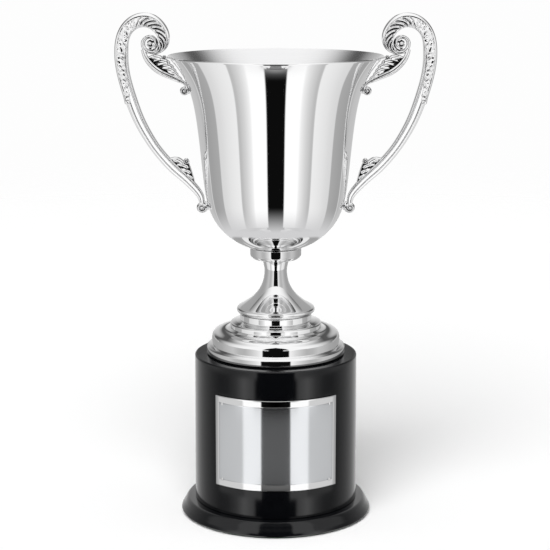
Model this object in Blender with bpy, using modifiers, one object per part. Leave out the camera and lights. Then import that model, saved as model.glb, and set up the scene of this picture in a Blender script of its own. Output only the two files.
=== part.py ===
"""Cup trophy: a spun, silver plated two-handled cup on a black moulded plinth.

The cup (bowl, collar, stem and foot) is clamped on one M6 tie rod between an acorn
nut in the bowl and a nut inside the foot. The rod goes on through the plinth's top,
where a wing nut and its washer hold the cup on the plinth. The handles are castings,
each held by two screws from inside the bowl.

The origin is the middle of the felt underside. +Z is up along the axis of the cup,
X runs through both handles, and the engraving plate faces -Y.
Every size below is in millimetres; the helpers turn them into metres.
"""

import math

import bmesh
import bpy
from mathutils import Matrix, Vector

MM = 0.001
GAP = 0.3                       # clearance kept between neighbouring pieces

# ---------------------------------------------------------------- driving sizes
FELT_THICK = 0.8
FELT_R_OUT = 61.5
FELT_R_IN = 42.0

BASE_R = 63.5                   # skirt ring, 5 inches across
BASE_R_IN = 40.0
BASE_Z0 = FELT_THICK + GAP
BASE_LEDGE_Z = 9.9
BASE_LEDGE_R = 58.9

DRUM_R_TOP = 53.7
DRUM_R_BOTTOM = 54.2
DRUM_R_IN = 45.0
DRUM_Z0 = BASE_LEDGE_Z + GAP
DRUM_Z1 = 108.4
DRUM_TOP_THICK = 8.0
DRUM_EDGE = 1.1                 # rounding of the top edge

FOOT_Z0 = 109.4
FOOT_FLANGE_R = 45.8
FOOT_DOME_R = 42.3
FOOT_NECK_R = 23.7
FOOT_NECK_Z = 135.4
FOOT_WALL = 1.0

STEM_Z0 = FOOT_NECK_Z + GAP
STEM_Z1 = 171.4
STEM_WALL = 1.2

COLLAR_R = 16.8
COLLAR_Z0 = STEM_Z1 + GAP
COLLAR_Z1 = 178.6

BOWL_Z0 = COLLAR_Z1 + GAP
BOWL_RIM_R = 70.1
BOWL_RIM_Z = 305.1
BOWL_WALL = 1.0

ROD_R = 2.7                     # M6 tie rod at its mean thread radius
ROD_Z0 = 76.0
ROD_Z1 = 189.0
ROD_HOLE_R = 3.4
NUT_HOLE_R = 3.0
NUT_FLATS = 10.0                # M6 across flats
NUT_HEIGHT = 5.0
WASHER_THICK = 1.6

PLATE_R_IN = 54.5
PLATE_THICK = 0.8
PLATE_Z0 = 29.2
PLATE_Z1 = 89.4
PLATE_HALF_ANGLE = 45.0         # degrees each side of the front
PIN_HALF_ANGLE = 38.9
PIN_INSET = 4.8                 # from the plate's top and bottom edges
PIN_HEAD_R = 1.05
PIN_SHANK_R = 0.5
PIN_HOLE_R = 0.85
PIN_LENGTH = 5.0

SCREW_R = 1.5                   # M3 handle screws
SCREW_HOLE_R = 1.9
SCREW_HEAD_R = 2.7
SCREW_HEAD_HEIGHT = 1.6
HANDLE_WASHER_R = 3.2
HANDLE_WASHER_THICK = 0.6
WASHER_BRIDGE = 0.8             # a flat washer bridges the hollow of the curved wall
BOSS_BRIDGE = 0.6               # and a boss's flat end stands off its outside
BASE_SCREW_R = 1.6
BASE_SCREW_HEAD_R = 3.4
BASE_SCREW_CIRCLE_R = 49.6
BASE_SCREW_Z1 = 21.0

# A handle's end scrolls: |x|, z of the centre and the scroll's radius.
UPPER_SCROLL = (59.4, 282.6, 2.9)
LOWER_SCROLL = (48.3, 206.1, 3.6)
SCROLL_HALF_WIDTH = 3.2

STEPS = 36                      # facets around the large turned pieces
SMALL_STEPS = 24


# ------------------------------------------------------------------- materials
def material(name, colour, metallic, roughness):
    mat = bpy.data.materials.new(name)
    mat.use_nodes = True
    shader = mat.node_tree.nodes["Principled BSDF"]
    shader.inputs["Base Color"].default_value = (*colour, 1.0)
    shader.inputs["Metallic"].default_value = metallic
    shader.inputs["Roughness"].default_value = roughness
    return mat


# --------------------------------------------------------------------- helpers
def smooth_path(points, per_span):
    """Catmull-Rom curve through points of any dimension, per_span steps between two of them."""
    knots = [Vector(p) for p in points]
    knots.insert(0, 2 * knots[0] - knots[1])
    knots.append(2 * knots[-1] - knots[-2])
    path = []
    for i in range(1, len(knots) - 2):
        a, b, c, d = knots[i - 1:i + 3]
        for k in range(per_span):
            t = k / per_span
            path.append(0.5 * (2 * b + (c - a) * t + (2 * a - 5 * b + 4 * c - d) * t * t
                               + (3 * b - 3 * c + d - a) * t ** 3))
    path.append(knots[-2])
    return [tuple(p) for p in path]


def arc(centre_r, centre_z, radius, start, end, steps):
    """Points of an arc in an (r, z) outline, angles in degrees from +r towards +z."""
    points = []
    for k in range(steps + 1):
        angle = math.radians(start + (end - start) * k / steps)
        points.append((centre_r + radius * math.cos(angle), centre_z + radius * math.sin(angle)))
    return points


def offset_outline(outline, distance):
    """Shift an open outline to its right, which is inwards for an outer wall that runs down."""
    shifted = []
    for i, point in enumerate(outline):
        before = Vector(outline[max(i - 1, 0)])
        after = Vector(outline[min(i + 1, len(outline) - 1)])
        along = (after - before).normalized()
        shifted.append((point[0] + along.y * distance, point[1] - along.x * distance))
    return shifted


def add_object(name, mesh, mat, collection):
    obj = bpy.data.objects.new(name, mesh)
    if mat:
        obj.data.materials.append(mat)
    collection.objects.link(obj)
    return obj


def shade(obj, angle=35.0):
    obj.data.shade_smooth()
    obj.data.set_sharp_from_angle(angle=math.radians(angle))


def turned(name, outline, mat, collection, steps=STEPS, closed=True):
    """Turn an (r, z) outline about Z: down its outer side first, then back up the inner side."""
    mesh = bpy.data.meshes.new(name)
    edges = [(i, i + 1) for i in range(len(outline) - 1)]
    if closed:
        edges.append((len(outline) - 1, 0))
    mesh.from_pydata([(r * MM, 0.0, z * MM) for r, z in outline], edges, [])
    obj = add_object(name, mesh, mat, collection)
    turn = obj.modifiers.new("Turn", "SCREW")
    turn.steps = steps
    turn.render_steps = steps
    turn.use_merge_vertices = True
    turn.merge_threshold = 0.00001
    turn.use_smooth_shade = True
    return obj


def ring(name, r_in, r_out, z0, z1, mat, collection, steps=STEPS):
    outline = [(r_out, z1), (r_out, z0), (r_in, z0), (r_in, z1)]
    return turned(name, outline, mat, collection, steps)


def cylinder(name, radius, z0, z1, mat, collection, segments=SMALL_STEPS, top_radius=None):
    """Closed cylinder, cone or prism standing on the Z axis."""
    mesh = bpy.data.meshes.new(name)
    work = bmesh.new()
    top = radius if top_radius is None else top_radius
    place = Matrix.Translation((0.0, 0.0, (z0 + z1) / 2 * MM))
    bmesh.ops.create_cone(work, cap_ends=True, segments=segments, radius1=radius * MM,
                          radius2=top * MM, depth=(z1 - z0) * MM, matrix=place)
    work.to_mesh(mesh)
    work.free()
    return add_object(name, mesh, mat, collection)


def curve_mesh(curve_obj, mat, collection):
    """Replace a curve object by a closed mesh object, with its caps welded on."""
    name = curve_obj.name
    bpy.context.view_layer.update()
    graph = bpy.context.evaluated_depsgraph_get()
    mesh = bpy.data.meshes.new_from_object(curve_obj.evaluated_get(graph))
    world = curve_obj.matrix_world.copy()
    bpy.data.objects.remove(curve_obj)
    work = bmesh.new()
    work.from_mesh(mesh)
    bmesh.ops.remove_doubles(work, verts=work.verts, dist=0.00001)
    bmesh.ops.recalc_face_normals(work, faces=work.faces)
    work.to_mesh(mesh)
    work.free()
    mesh.materials.clear()
    obj = add_object(name, mesh, mat, collection)
    obj.matrix_world = world
    return obj


def tube(name, stations, side, mat, collection, resolution=3):
    """Round tapered bar in the XZ plane through stations of (|x|, z, radius)."""
    curve = bpy.data.curves.new(name, "CURVE")
    curve.dimensions = "3D"
    curve.bevel_depth = MM
    curve.bevel_resolution = resolution
    curve.use_fill_caps = True
    spline = curve.splines.new("POLY")
    spline.points.add(len(stations) - 1)
    for point, (x, z, radius) in zip(spline.points, stations):
        point.co = (side * x * MM, 0.0, z * MM, 1.0)
        point.radius = radius
    obj = bpy.data.objects.new(name, curve)
    collection.objects.link(obj)
    return curve_mesh(obj, mat, collection)


def blade(name, outline, side, half_thickness, mat, collection):
    """Flat leaf in the XZ plane from an outline of (|x|, z) points."""
    curve = bpy.data.curves.new(name, "CURVE")
    curve.dimensions = "2D"
    curve.fill_mode = "BOTH"
    curve.extrude = half_thickness * MM
    spline = curve.splines.new("POLY")
    spline.points.add(len(outline) - 1)
    spline.use_cyclic_u = True
    for point, (x, z) in zip(spline.points, outline):
        point.co = (side * x * MM, z * MM, 0.0, 1.0)
    obj = bpy.data.objects.new(name, curve)
    obj.rotation_euler = (math.pi / 2, 0.0, 0.0)
    collection.objects.link(obj)
    return curve_mesh(obj, mat, collection)


def pivot_disc(name, x, z, radius, side, half_width, mat, collection, segments=16):
    """Disc whose axis runs along Y, for a scroll's eye."""
    disc = cylinder(name, radius, -half_width, half_width, mat, collection, segments)
    disc.rotation_euler = (math.pi / 2, 0.0, 0.0)
    disc.location = (side * x * MM, 0.0, z * MM)
    return disc


def as_cutter(obj):
    obj.hide_render = True
    obj.display_type = "WIRE"
    return obj


def boolean(obj, other, operation):
    step = obj.modifiers.new(operation.title(), "BOOLEAN")
    step.operation = operation
    step.solver = "EXACT"
    step.object = as_cutter(other)
    return step


def aim(obj, place, direction):
    """Stand an object built on +Z at a place in millimetres, with its +Z along direction."""
    obj.matrix_world = (Matrix.Translation(Vector(place) * MM)
                        @ Vector(direction).to_track_quat("Z", "Y").to_matrix().to_4x4())


# ------------------------------------------------------------ bowl and its wall
def bowl_outer():
    """Outer wall from the rim down to the flat seat on the collar."""
    wall = smooth_path([(65.2, 300.6), (61.0, 294.0), (56.1, 283.5), (52.8, 271.0), (50.3, 252.0),
                        (47.7, 228.0), (44.8, 208.5), (40.9, 199.0), (34.8, 190.4), (26.6, 183.8),
                        (19.5, 180.4)], 1)
    rim = [(BOWL_RIM_R - 0.8, BOWL_RIM_Z), (BOWL_RIM_R, BOWL_RIM_Z - 0.6),
           (BOWL_RIM_R - 0.6, BOWL_RIM_Z - 1.5)]
    return rim + wall + [(14.0, BOWL_Z0), (ROD_HOLE_R, BOWL_Z0)]


def bowl_inner():
    wall = offset_outline(bowl_outer()[2:-2], BOWL_WALL)[::-1]
    return [(ROD_HOLE_R, BOWL_Z0 + BOWL_WALL), (13.6, BOWL_Z0 + BOWL_WALL)] + wall


def wall_point(z):
    """Outer radius of the bowl at height z, and the wall's slope dr/dz there."""
    outer = bowl_outer()
    for (r1, z1), (r0, z0) in zip(outer[3:], outer[4:]):
        if z0 <= z <= z1:
            slope = (r1 - r0) / (z1 - z0)
            return r0 + (z - z0) * slope, slope
    raise ValueError("height outside the bowl's wall")


def screw_axis(scroll, side):
    """Where a handle screw goes through the bowl wall, and its direction out of the bowl."""
    x, z, _ = scroll
    radius, slope = wall_point(z)
    contact_z = z + slope * (x - radius)
    radius, slope = wall_point(contact_z)
    return Vector((side * radius, 0.0, contact_z)), Vector((side, 0.0, -slope)).normalized()


def make_bowl(silver, parts, cutters):
    bowl = turned("bowl", bowl_outer() + bowl_inner(), silver, parts)
    for side in (-1, 1):
        for scroll in (UPPER_SCROLL, LOWER_SCROLL):
            hole = cylinder("bowl_screw_hole", SCREW_HOLE_R, -4.0, 4.0, None, cutters, 16)
            aim(hole, *screw_axis(scroll, side))
            boolean(bowl, hole, "DIFFERENCE")
    return bowl


# ---------------------------------------------------------------------- handles
ARM = [(48.6, 209.2, 2.0), (49.3, 213.6, 2.5), (53.6, 219.5, 2.9), (59.6, 225.6, 3.2),
       (66.3, 231.6, 3.4), (72.4, 238.0, 3.4), (78.3, 245.4, 3.4), (84.1, 254.6, 3.6),
       (88.9, 264.0, 3.9), (92.7, 273.6, 4.3), (95.8, 283.0, 4.5), (98.2, 292.0, 4.5),
       (99.3, 300.0, 4.7), (99.5, 308.0, 4.8), (98.4, 316.6, 4.6), (95.3, 322.8, 4.6),
       (90.2, 326.8, 4.8), (84.0, 328.1, 4.9), (78.4, 326.4, 4.9), (74.0, 322.4, 4.5),
       (71.8, 317.0, 4.1), (72.2, 311.8, 3.2), (75.4, 308.6, 2.2), (78.2, 307.4, 1.2)]
BRACKET = [(60.2, 284.2, 1.6), (61.6, 287.5, 1.7), (65.2, 290.0, 1.9), (70.0, 292.2, 2.2), (75.5, 295.2, 2.3),
           (80.3, 299.2, 2.3), (84.0, 304.2, 2.1), (85.5, 309.0, 1.8), (85.2, 313.4, 1.7),
           (82.8, 317.0, 1.6), (79.4, 317.6, 1.5), (77.0, 315.0, 1.4), (77.2, 311.6, 1.4),
           (79.4, 310.2, 1.3)]
EYE = (80.9, 313.2, 2.6)
UPPER_LEAF = [(83.6, 307.0), (79.4, 304.2), (75.4, 303.0), (73.6, 304.6), (71.6, 305.3),
              (70.2, 303.4), (67.2, 300.4), (63.6, 295.0), (59.6, 290.0), (60.6, 286.6),
              (66.0, 290.4), (73.0, 293.6), (79.4, 298.6)]
UPPER_CURL = (72.1, 303.8, 1.7)
LOWER_LEAF = [(68.4, 237.6), (64.0, 236.0), (60.4, 236.2), (58.4, 238.8), (56.2, 237.4),
              (54.6, 232.0), (53.2, 225.0), (52.6, 221.6), (53.6, 219.0), (60.0, 226.0)]
LOWER_CURL = (58.3, 236.7, 2.2)
LEAF_HALF_THICKNESS = 2.4
BOSS_R = 3.1                    # short foot between an end scroll and the bowl


def make_handle(name, side, silver, parts, cutters):
    handle = tube(name, smooth_path(ARM, 2), side, silver, parts)
    pieces = [tube(name + "_bracket", smooth_path(BRACKET, 1), side, None, cutters, 2),
              blade(name + "_upper_leaf", UPPER_LEAF, side, LEAF_HALF_THICKNESS, None, cutters),
              blade(name + "_lower_leaf", LOWER_LEAF, side, LEAF_HALF_THICKNESS, None, cutters)]
    for label, (x, z, radius) in (("eye", EYE), ("upper_curl", UPPER_CURL),
                                  ("lower_curl", LOWER_CURL), ("upper_end", UPPER_SCROLL),
                                  ("lower_end", LOWER_SCROLL)):
        pieces.append(pivot_disc(name + "_" + label, x, z, radius, side, SCROLL_HALF_WIDTH,
                                 None, cutters))
    for scroll in (UPPER_SCROLL, LOWER_SCROLL):
        place, out = screw_axis(scroll, side)
        length = (Vector((side * scroll[0], 0.0, scroll[1])) - place).length
        boss = cylinder(name + "_boss", BOSS_R, BOSS_BRIDGE, length, None, cutters, 16)
        aim(boss, place, out)
        pieces.append(boss)
    for piece in pieces:
        boolean(handle, piece, "UNION")
    for scroll in (UPPER_SCROLL, LOWER_SCROLL):
        hole = cylinder(name + "_tapping", SCREW_HOLE_R, -1.0, 4.6, None, cutters, 12)
        aim(hole, *screw_axis(scroll, side))
        boolean(handle, hole, "DIFFERENCE")
    return handle


def make_handle_fasteners(steel, parts):
    number = 0
    for side in (-1, 1):
        for scroll in (UPPER_SCROLL, LOWER_SCROLL):
            number += 1
            place, out = screw_axis(scroll, side)
            washer_top = -(BOWL_WALL + WASHER_BRIDGE)
            washer_z0 = washer_top - HANDLE_WASHER_THICK
            washer = ring(f"handle_washer_{number}", SCREW_HOLE_R, HANDLE_WASHER_R, washer_z0,
                          washer_top, steel, parts, 16)
            aim(washer, place, out)
            head_z1 = washer_z0 - GAP
            head_z0 = head_z1 - SCREW_HEAD_HEIGHT
            outline = [(0.0, 4.0), (SCREW_R, 4.0), (SCREW_R, head_z1), (SCREW_HEAD_R, head_z1),
                       (SCREW_HEAD_R, head_z0 + 0.8), (SCREW_HEAD_R - 0.8, head_z0), (0.0, head_z0)]
            screw = turned(f"handle_screw_{number}", outline, steel, parts, 14, closed=False)
            aim(screw, place, out)


# ------------------------------------------------------- collar, stem and foot
def make_collar(silver, parts):
    outline = ([(COLLAR_R - 0.4, COLLAR_Z1), (COLLAR_R, COLLAR_Z1 - 0.4)]
               + arc(COLLAR_R - 3.0, 175.0, 3.0, 0, -90, 4)
               + [(ROD_HOLE_R, COLLAR_Z0), (ROD_HOLE_R, COLLAR_Z1)])
    return turned("collar", outline, silver, parts, 32)


def make_stem(silver, parts):
    trumpet = smooth_path([(8.5, 170.6), (7.7, 167.0), (7.3, 163.8), (7.6, 160.0), (9.1, 154.8),
                           (12.8, 149.0), (18.5, 144.2), (24.4, 140.5)], 1)
    knop = arc(24.0, 138.5, 1.8, 40, -60, 3)
    outer = [(8.2, STEM_Z1)] + trumpet + knop + [(24.0, STEM_Z0)]
    inner = [(22.4, STEM_Z0), (22.8, 138.0), (21.8, 140.4), (16.8, 143.8), (11.2, 148.2),
             (7.4, 154.0), (5.8, 160.0), (5.4, 166.0), (ROD_HOLE_R, 167.4), (ROD_HOLE_R, STEM_Z1)]
    return turned("stem", outer + inner, silver, parts, 32)


def make_foot(silver, parts):
    neck = [(ROD_HOLE_R, FOOT_NECK_Z), (FOOT_NECK_R - 0.5, FOOT_NECK_Z),
            (FOOT_NECK_R, FOOT_NECK_Z - 0.5), (FOOT_NECK_R, 131.4)]
    step = [(26.4, 130.4)] + arc(28.6, 127.8, 1.7, 80, -10, 3) + [(30.6, 125.6), (32.2, 124.5)]
    dome = smooth_path([(32.2, 124.5), (36.8, 123.5), (39.9, 122.1), (41.7, 120.2),
                        (FOOT_DOME_R, 117.6)], 1)[1:]
    flange = [(FOOT_DOME_R, 113.6), (FOOT_FLANGE_R - 0.4, 113.0), (FOOT_FLANGE_R, 112.4),
              (FOOT_FLANGE_R, FOOT_Z0)]
    under = [(FOOT_FLANGE_R - 1.2, FOOT_Z0), (FOOT_FLANGE_R - 1.4, 111.9),
             (FOOT_DOME_R - FOOT_WALL, 112.4), (FOOT_DOME_R - FOOT_WALL, 117.4), (40.6, 119.6),
             (38.6, 121.6), (35.8, 122.5), (31.0, 123.6), (29.0, 125.4), (28.4, 128.6),
             (25.6, 129.6), (FOOT_NECK_R - FOOT_WALL, 130.6),
             (FOOT_NECK_R - FOOT_WALL, FOOT_NECK_Z - FOOT_WALL),
             (ROD_HOLE_R, FOOT_NECK_Z - FOOT_WALL)]
    return turned("foot", neck + step + dome + flange + under, silver, parts)


# ------------------------------------------------------------ rod, nuts, washers
def make_hex_nut(name, z0, steel, parts, cutters):
    corner = NUT_FLATS / 2 / math.cos(math.pi / 6)
    nut = cylinder(name, corner, z0, z0 + NUT_HEIGHT, steel, parts, 6)
    bore = cylinder(name + "_bore", NUT_HOLE_R, z0 - 1.0, z0 + NUT_HEIGHT + 1.0, None, cutters, 18)
    boolean(nut, bore, "DIFFERENCE")
    return nut


def make_rod_stack(steel, brass, rubber, parts, cutters):
    cylinder("tie_rod", ROD_R, ROD_Z0, ROD_Z1, steel, parts, 18)

    washer_z0 = BOWL_Z0 + BOWL_WALL + GAP
    dished = [(10.6, washer_z0 + 0.9), (11.0, washer_z0), (ROD_HOLE_R, washer_z0),
              (ROD_HOLE_R, washer_z0 + 1.8), (6.4, washer_z0 + 1.8)]
    turned("bowl_washer", dished, steel, parts, SMALL_STEPS)

    nut_z0 = washer_z0 + 1.8 + GAP
    corner = NUT_FLATS / 2 / math.cos(math.pi / 6)
    nut = cylinder("bowl_nut", corner, nut_z0, nut_z0 + NUT_HEIGHT, brass, parts, 6)
    dome_z = nut_z0 + NUT_HEIGHT - 0.5
    dome = turned("bowl_nut_dome", arc(0.0, dome_z, 4.7, 90, 0, 5) + [(0.0, dome_z)], None,
                  cutters, SMALL_STEPS, closed=False)
    boolean(nut, dome, "UNION")
    blind = cylinder("bowl_nut_bore", NUT_HOLE_R, nut_z0 - 1.0, ROD_Z1 + GAP, None, cutters, 18)
    boolean(nut, blind, "DIFFERENCE")

    plate_z1 = FOOT_NECK_Z - FOOT_WALL - GAP
    ring("foot_plate", ROD_HOLE_R, 20.5, plate_z1 - WASHER_THICK, plate_z1, steel, parts,
         SMALL_STEPS)
    make_hex_nut("foot_nut", plate_z1 - WASHER_THICK - GAP - NUT_HEIGHT, steel, parts, cutters)

    gasket_z0 = DRUM_Z1 + GAP
    ring("foot_gasket", 36.0, 44.6, gasket_z0, FOOT_Z0 - GAP, rubber, parts, 40)


def make_release(steel, brass, parts, cutters):
    """The washer and wing nut under the plinth's top, which let the cup off its plinth."""
    washer_z1 = DRUM_Z1 - DRUM_TOP_THICK - GAP
    washer = ring("plinth_washer", NUT_HOLE_R, 9.0, -WASHER_THICK, 0.0, steel, parts, SMALL_STEPS)
    washer.location.z = washer_z1 * MM

    nut_z1 = washer_z1 - WASHER_THICK - GAP
    nut = turned("wing_nut", [(5.2, 0.0), (4.6, -6.5), (NUT_HOLE_R, -6.5), (NUT_HOLE_R, 0.0)],
                 brass, parts, SMALL_STEPS)
    for side in (-1, 1):
        outline = ([(3.6, -1.2), (4.6, -5.6), (8.0, -6.4)]
                   + arc(11.0, -6.8, 2.6, -110, 60, 5) + [(8.6, -2.4)])
        wing = blade("wing_nut_wing", outline, side, 1.0, None, cutters)
        wing.location.z = nut_z1 * MM
        boolean(nut, wing, "UNION")
    nut.location.z = nut_z1 * MM


# ------------------------------------------------------------------------ plinth
def pin_places():
    """Angle in degrees from the front and height of the four plate pins."""
    return [(angle, z) for z in (PLATE_Z1 - PIN_INSET, PLATE_Z0 + PIN_INSET)
            for angle in (-PIN_HALF_ANGLE, PIN_HALF_ANGLE)]


def pin_frame(angle, z):
    """Point on the plate's outer face under a pin's head, and the direction out of the drum."""
    out = Vector((math.sin(math.radians(angle)), -math.cos(math.radians(angle)), 0.0))
    return out * (PLATE_R_IN + PLATE_THICK) + Vector((0.0, 0.0, z)), out


def base_screw_places():
    return [(math.radians(45 + 90 * k), f"base_screw_{k + 1}") for k in range(4)]


def make_plinth(black, felt, steel, parts, cutters):
    drum = turned("plinth_body",
                  [(ROD_HOLE_R, DRUM_Z1)]
                  + arc(DRUM_R_TOP - DRUM_EDGE, DRUM_Z1 - DRUM_EDGE, DRUM_EDGE, 90, 0, 3)
                  + [(DRUM_R_BOTTOM, DRUM_Z0), (DRUM_R_IN, DRUM_Z0),
                     (DRUM_R_IN, DRUM_Z1 - DRUM_TOP_THICK), (ROD_HOLE_R, DRUM_Z1 - DRUM_TOP_THICK)],
                  black, parts)
    for angle, z in pin_places():
        hole = cylinder("pin_hole", PIN_HOLE_R, -PIN_LENGTH - 1.0, 2.0, None, cutters, 10)
        aim(hole, *pin_frame(angle, z))
        boolean(drum, hole, "DIFFERENCE")

    flare = smooth_path([(BASE_LEDGE_R + 0.7, BASE_LEDGE_Z - 0.8), (61.2, 6.6), (62.6, 4.4),
                         (BASE_R, 2.6)], 1)
    skirt = turned("plinth_base",
                   [(BASE_LEDGE_R, BASE_LEDGE_Z)] + flare
                   + [(BASE_R, 1.8), (BASE_R - 0.5, BASE_Z0), (BASE_R_IN, BASE_Z0),
                      (BASE_R_IN, BASE_LEDGE_Z)],
                   black, parts)
    ring("base_felt", FELT_R_IN, FELT_R_OUT, 0.0, FELT_THICK, felt, parts)

    for angle, name in base_screw_places():
        centre = (BASE_SCREW_CIRCLE_R * math.cos(angle), BASE_SCREW_CIRCLE_R * math.sin(angle), 0.0)
        head_r = BASE_SCREW_HEAD_R
        clear_r = BASE_SCREW_R + GAP
        sink = turned("countersink",
                      [(0.0, 30.0), (clear_r, 30.0), (clear_r, BASE_Z0 + 2.6),
                       (head_r + GAP, BASE_Z0 + 0.4), (head_r + GAP, 0.0), (0.0, 0.0)],
                      None, cutters, 12, closed=False)
        sink.location = Vector(centre) * MM
        boolean(skirt, sink, "DIFFERENCE")
        pilot = cylinder("pilot_hole", clear_r, 0.0, BASE_SCREW_Z1 + GAP, None, cutters, 12)
        pilot.location = Vector(centre) * MM
        boolean(drum, pilot, "DIFFERENCE")
        screw = turned(name,
                       [(0.0, BASE_SCREW_Z1), (BASE_SCREW_R, BASE_SCREW_Z1 - 2.0),
                        (BASE_SCREW_R, BASE_Z0 + 2.2), (head_r, BASE_Z0 + 0.3),
                        (head_r, BASE_Z0), (0.0, BASE_Z0)],
                       steel, parts, 12, closed=False)
        screw.location = Vector(centre) * MM


def make_plate(silver, steel, parts, cutters):
    """Curved engraving plate: an upright line swept round the front of the drum and thickened."""
    start = math.radians(-90.0 - PLATE_HALF_ANGLE)
    mesh = bpy.data.meshes.new("presentation_plate")
    x, y = PLATE_R_IN * math.cos(start) * MM, PLATE_R_IN * math.sin(start) * MM
    mesh.from_pydata([(x, y, PLATE_Z1 * MM), (x, y, PLATE_Z0 * MM)], [(0, 1)], [])
    plate = add_object("presentation_plate", mesh, silver, parts)
    sweep = plate.modifiers.new("Sweep", "SCREW")
    sweep.angle = math.radians(2 * PLATE_HALF_ANGLE)
    sweep.steps = 16
    sweep.render_steps = 16
    sweep.use_smooth_shade = True
    skin = plate.modifiers.new("Thickness", "SOLIDIFY")
    skin.thickness = PLATE_THICK * MM
    skin.offset = 1.0
    for number, (angle, z) in enumerate(pin_places(), 1):
        hole = cylinder("plate_hole", PIN_HOLE_R, -3.0, 3.0, None, cutters, 10)
        place, out = pin_frame(angle, z)
        aim(hole, place, out)
        boolean(plate, hole, "DIFFERENCE")
        outline = (arc(0.0, GAP + 0.05, PIN_HEAD_R, 90, 0, 3)
                   + [(PIN_SHANK_R, GAP + 0.05), (PIN_SHANK_R, 0.8 - PIN_LENGTH),
                      (0.0, -PIN_LENGTH)])
        pin = turned(f"plate_pin_{number}", outline, steel, parts, 10, closed=False)
        aim(pin, place, out)


# -------------------------------------------------------------------------- main
def main():
    for obj in list(bpy.data.objects):
        bpy.data.objects.remove(obj)
    parts = bpy.data.collections.new("cup_trophy")
    cutters = bpy.data.collections.new("cutters")
    for collection in (parts, cutters):
        bpy.context.scene.collection.children.link(collection)

    silver = material("silver_plate", (0.93, 0.93, 0.94), 1.0, 0.06)
    plate = material("plate_silver", (0.80, 0.81, 0.83), 1.0, 0.25)
    steel = material("steel", (0.62, 0.63, 0.65), 1.0, 0.30)
    brass = material("brass", (0.80, 0.62, 0.30), 1.0, 0.25)
    black = material("plinth_black", (0.015, 0.016, 0.018), 0.0, 0.28)
    felt = material("felt", (0.02, 0.05, 0.03), 0.0, 0.95)
    rubber = material("gasket", (0.02, 0.02, 0.02), 0.0, 0.80)

    make_bowl(silver, parts, cutters)
    make_handle("left_handle", -1, silver, parts, cutters)
    make_handle("right_handle", 1, silver, parts, cutters)
    make_handle_fasteners(steel, parts)
    make_collar(silver, parts)
    make_stem(silver, parts)
    make_foot(silver, parts)
    make_rod_stack(steel, brass, rubber, parts, cutters)
    make_release(steel, brass, parts, cutters)
    make_plinth(black, felt, steel, parts, cutters)
    make_plate(plate, steel, parts, cutters)


main()
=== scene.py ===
"""Looks of the cup trophy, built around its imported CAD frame.

Every detailed piece is made in millimetres with +Z up on the cup's axis and -Y to the
front, as the CAD is, and takes its main sizes from the boxes of the CAD nodes that it
stands for. The handles are built on the +X side and mirrored for the other one.
"""

import itertools
import math

import bmesh
import bpy
import numpy as np
from mathutils import Matrix, Vector


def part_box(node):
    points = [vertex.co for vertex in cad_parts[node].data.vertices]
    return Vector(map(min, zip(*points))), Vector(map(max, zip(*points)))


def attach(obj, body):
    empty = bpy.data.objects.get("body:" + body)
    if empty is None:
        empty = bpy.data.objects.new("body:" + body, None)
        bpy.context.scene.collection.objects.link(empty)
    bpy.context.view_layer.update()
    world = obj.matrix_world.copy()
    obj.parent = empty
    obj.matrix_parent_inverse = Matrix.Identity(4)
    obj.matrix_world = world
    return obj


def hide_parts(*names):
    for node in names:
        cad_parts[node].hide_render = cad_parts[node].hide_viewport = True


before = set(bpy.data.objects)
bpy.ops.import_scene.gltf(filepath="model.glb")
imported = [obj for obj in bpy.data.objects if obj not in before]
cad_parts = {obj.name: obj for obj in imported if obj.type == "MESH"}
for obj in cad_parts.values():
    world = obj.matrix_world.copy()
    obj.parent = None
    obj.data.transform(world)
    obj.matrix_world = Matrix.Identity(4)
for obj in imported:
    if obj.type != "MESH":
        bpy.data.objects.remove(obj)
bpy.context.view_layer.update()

MM = 0.001
TROPHY = "trophy"


# ------------------------------------------------------------ sizes from the frame
def node_size(name):
    """Largest radius about Z, lowest z and highest z of a CAD node, in millimetres."""
    low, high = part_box(name)
    reach = max(abs(low.x), abs(high.x), abs(low.y), abs(high.y))
    return reach / MM, low.z / MM, high.z / MM


RIM_R, BOWL_Z0, RIM_Z = node_size("bowl")
COLLAR_R, COLLAR_Z0, COLLAR_Z1 = node_size("collar")
KNOP_R, STEM_Z0, STEM_Z1 = node_size("stem")
FLANGE_R, FOOT_Z0, FOOT_Z1 = node_size("foot")
DRUM_R, DRUM_Z0, DRUM_Z1 = node_size("plinth_body")
BASE_R, BASE_Z0, BASE_Z1 = node_size("plinth_base")
FELT_R, FELT_Z0, FELT_Z1 = node_size("base_felt")
GASKET_R, GASKET_Z0, GASKET_Z1 = node_size("foot_gasket")
PLATE_R, PLATE_Z0, PLATE_Z1 = node_size("presentation_plate")
_, ROD_Z0, ROD_Z1 = node_size("tie_rod")

BOWL_WALL = 1.0
ROD_HOLE_R = 3.4
STACK_GAP = 0.3                 # between the pieces that the tie rod clamps
TURNED_STEPS = 192              # sides of the large turned pieces, then of ever smaller ones
SMALL_STEPS = 64
WASHER_STEPS = 48
SCREW_STEPS = 40
TINY_STEPS = 32
PIN_HOLE_STEPS = 24
RAMP_TOP = 2.0                  # highest level that a brightness curve can reach


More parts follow.
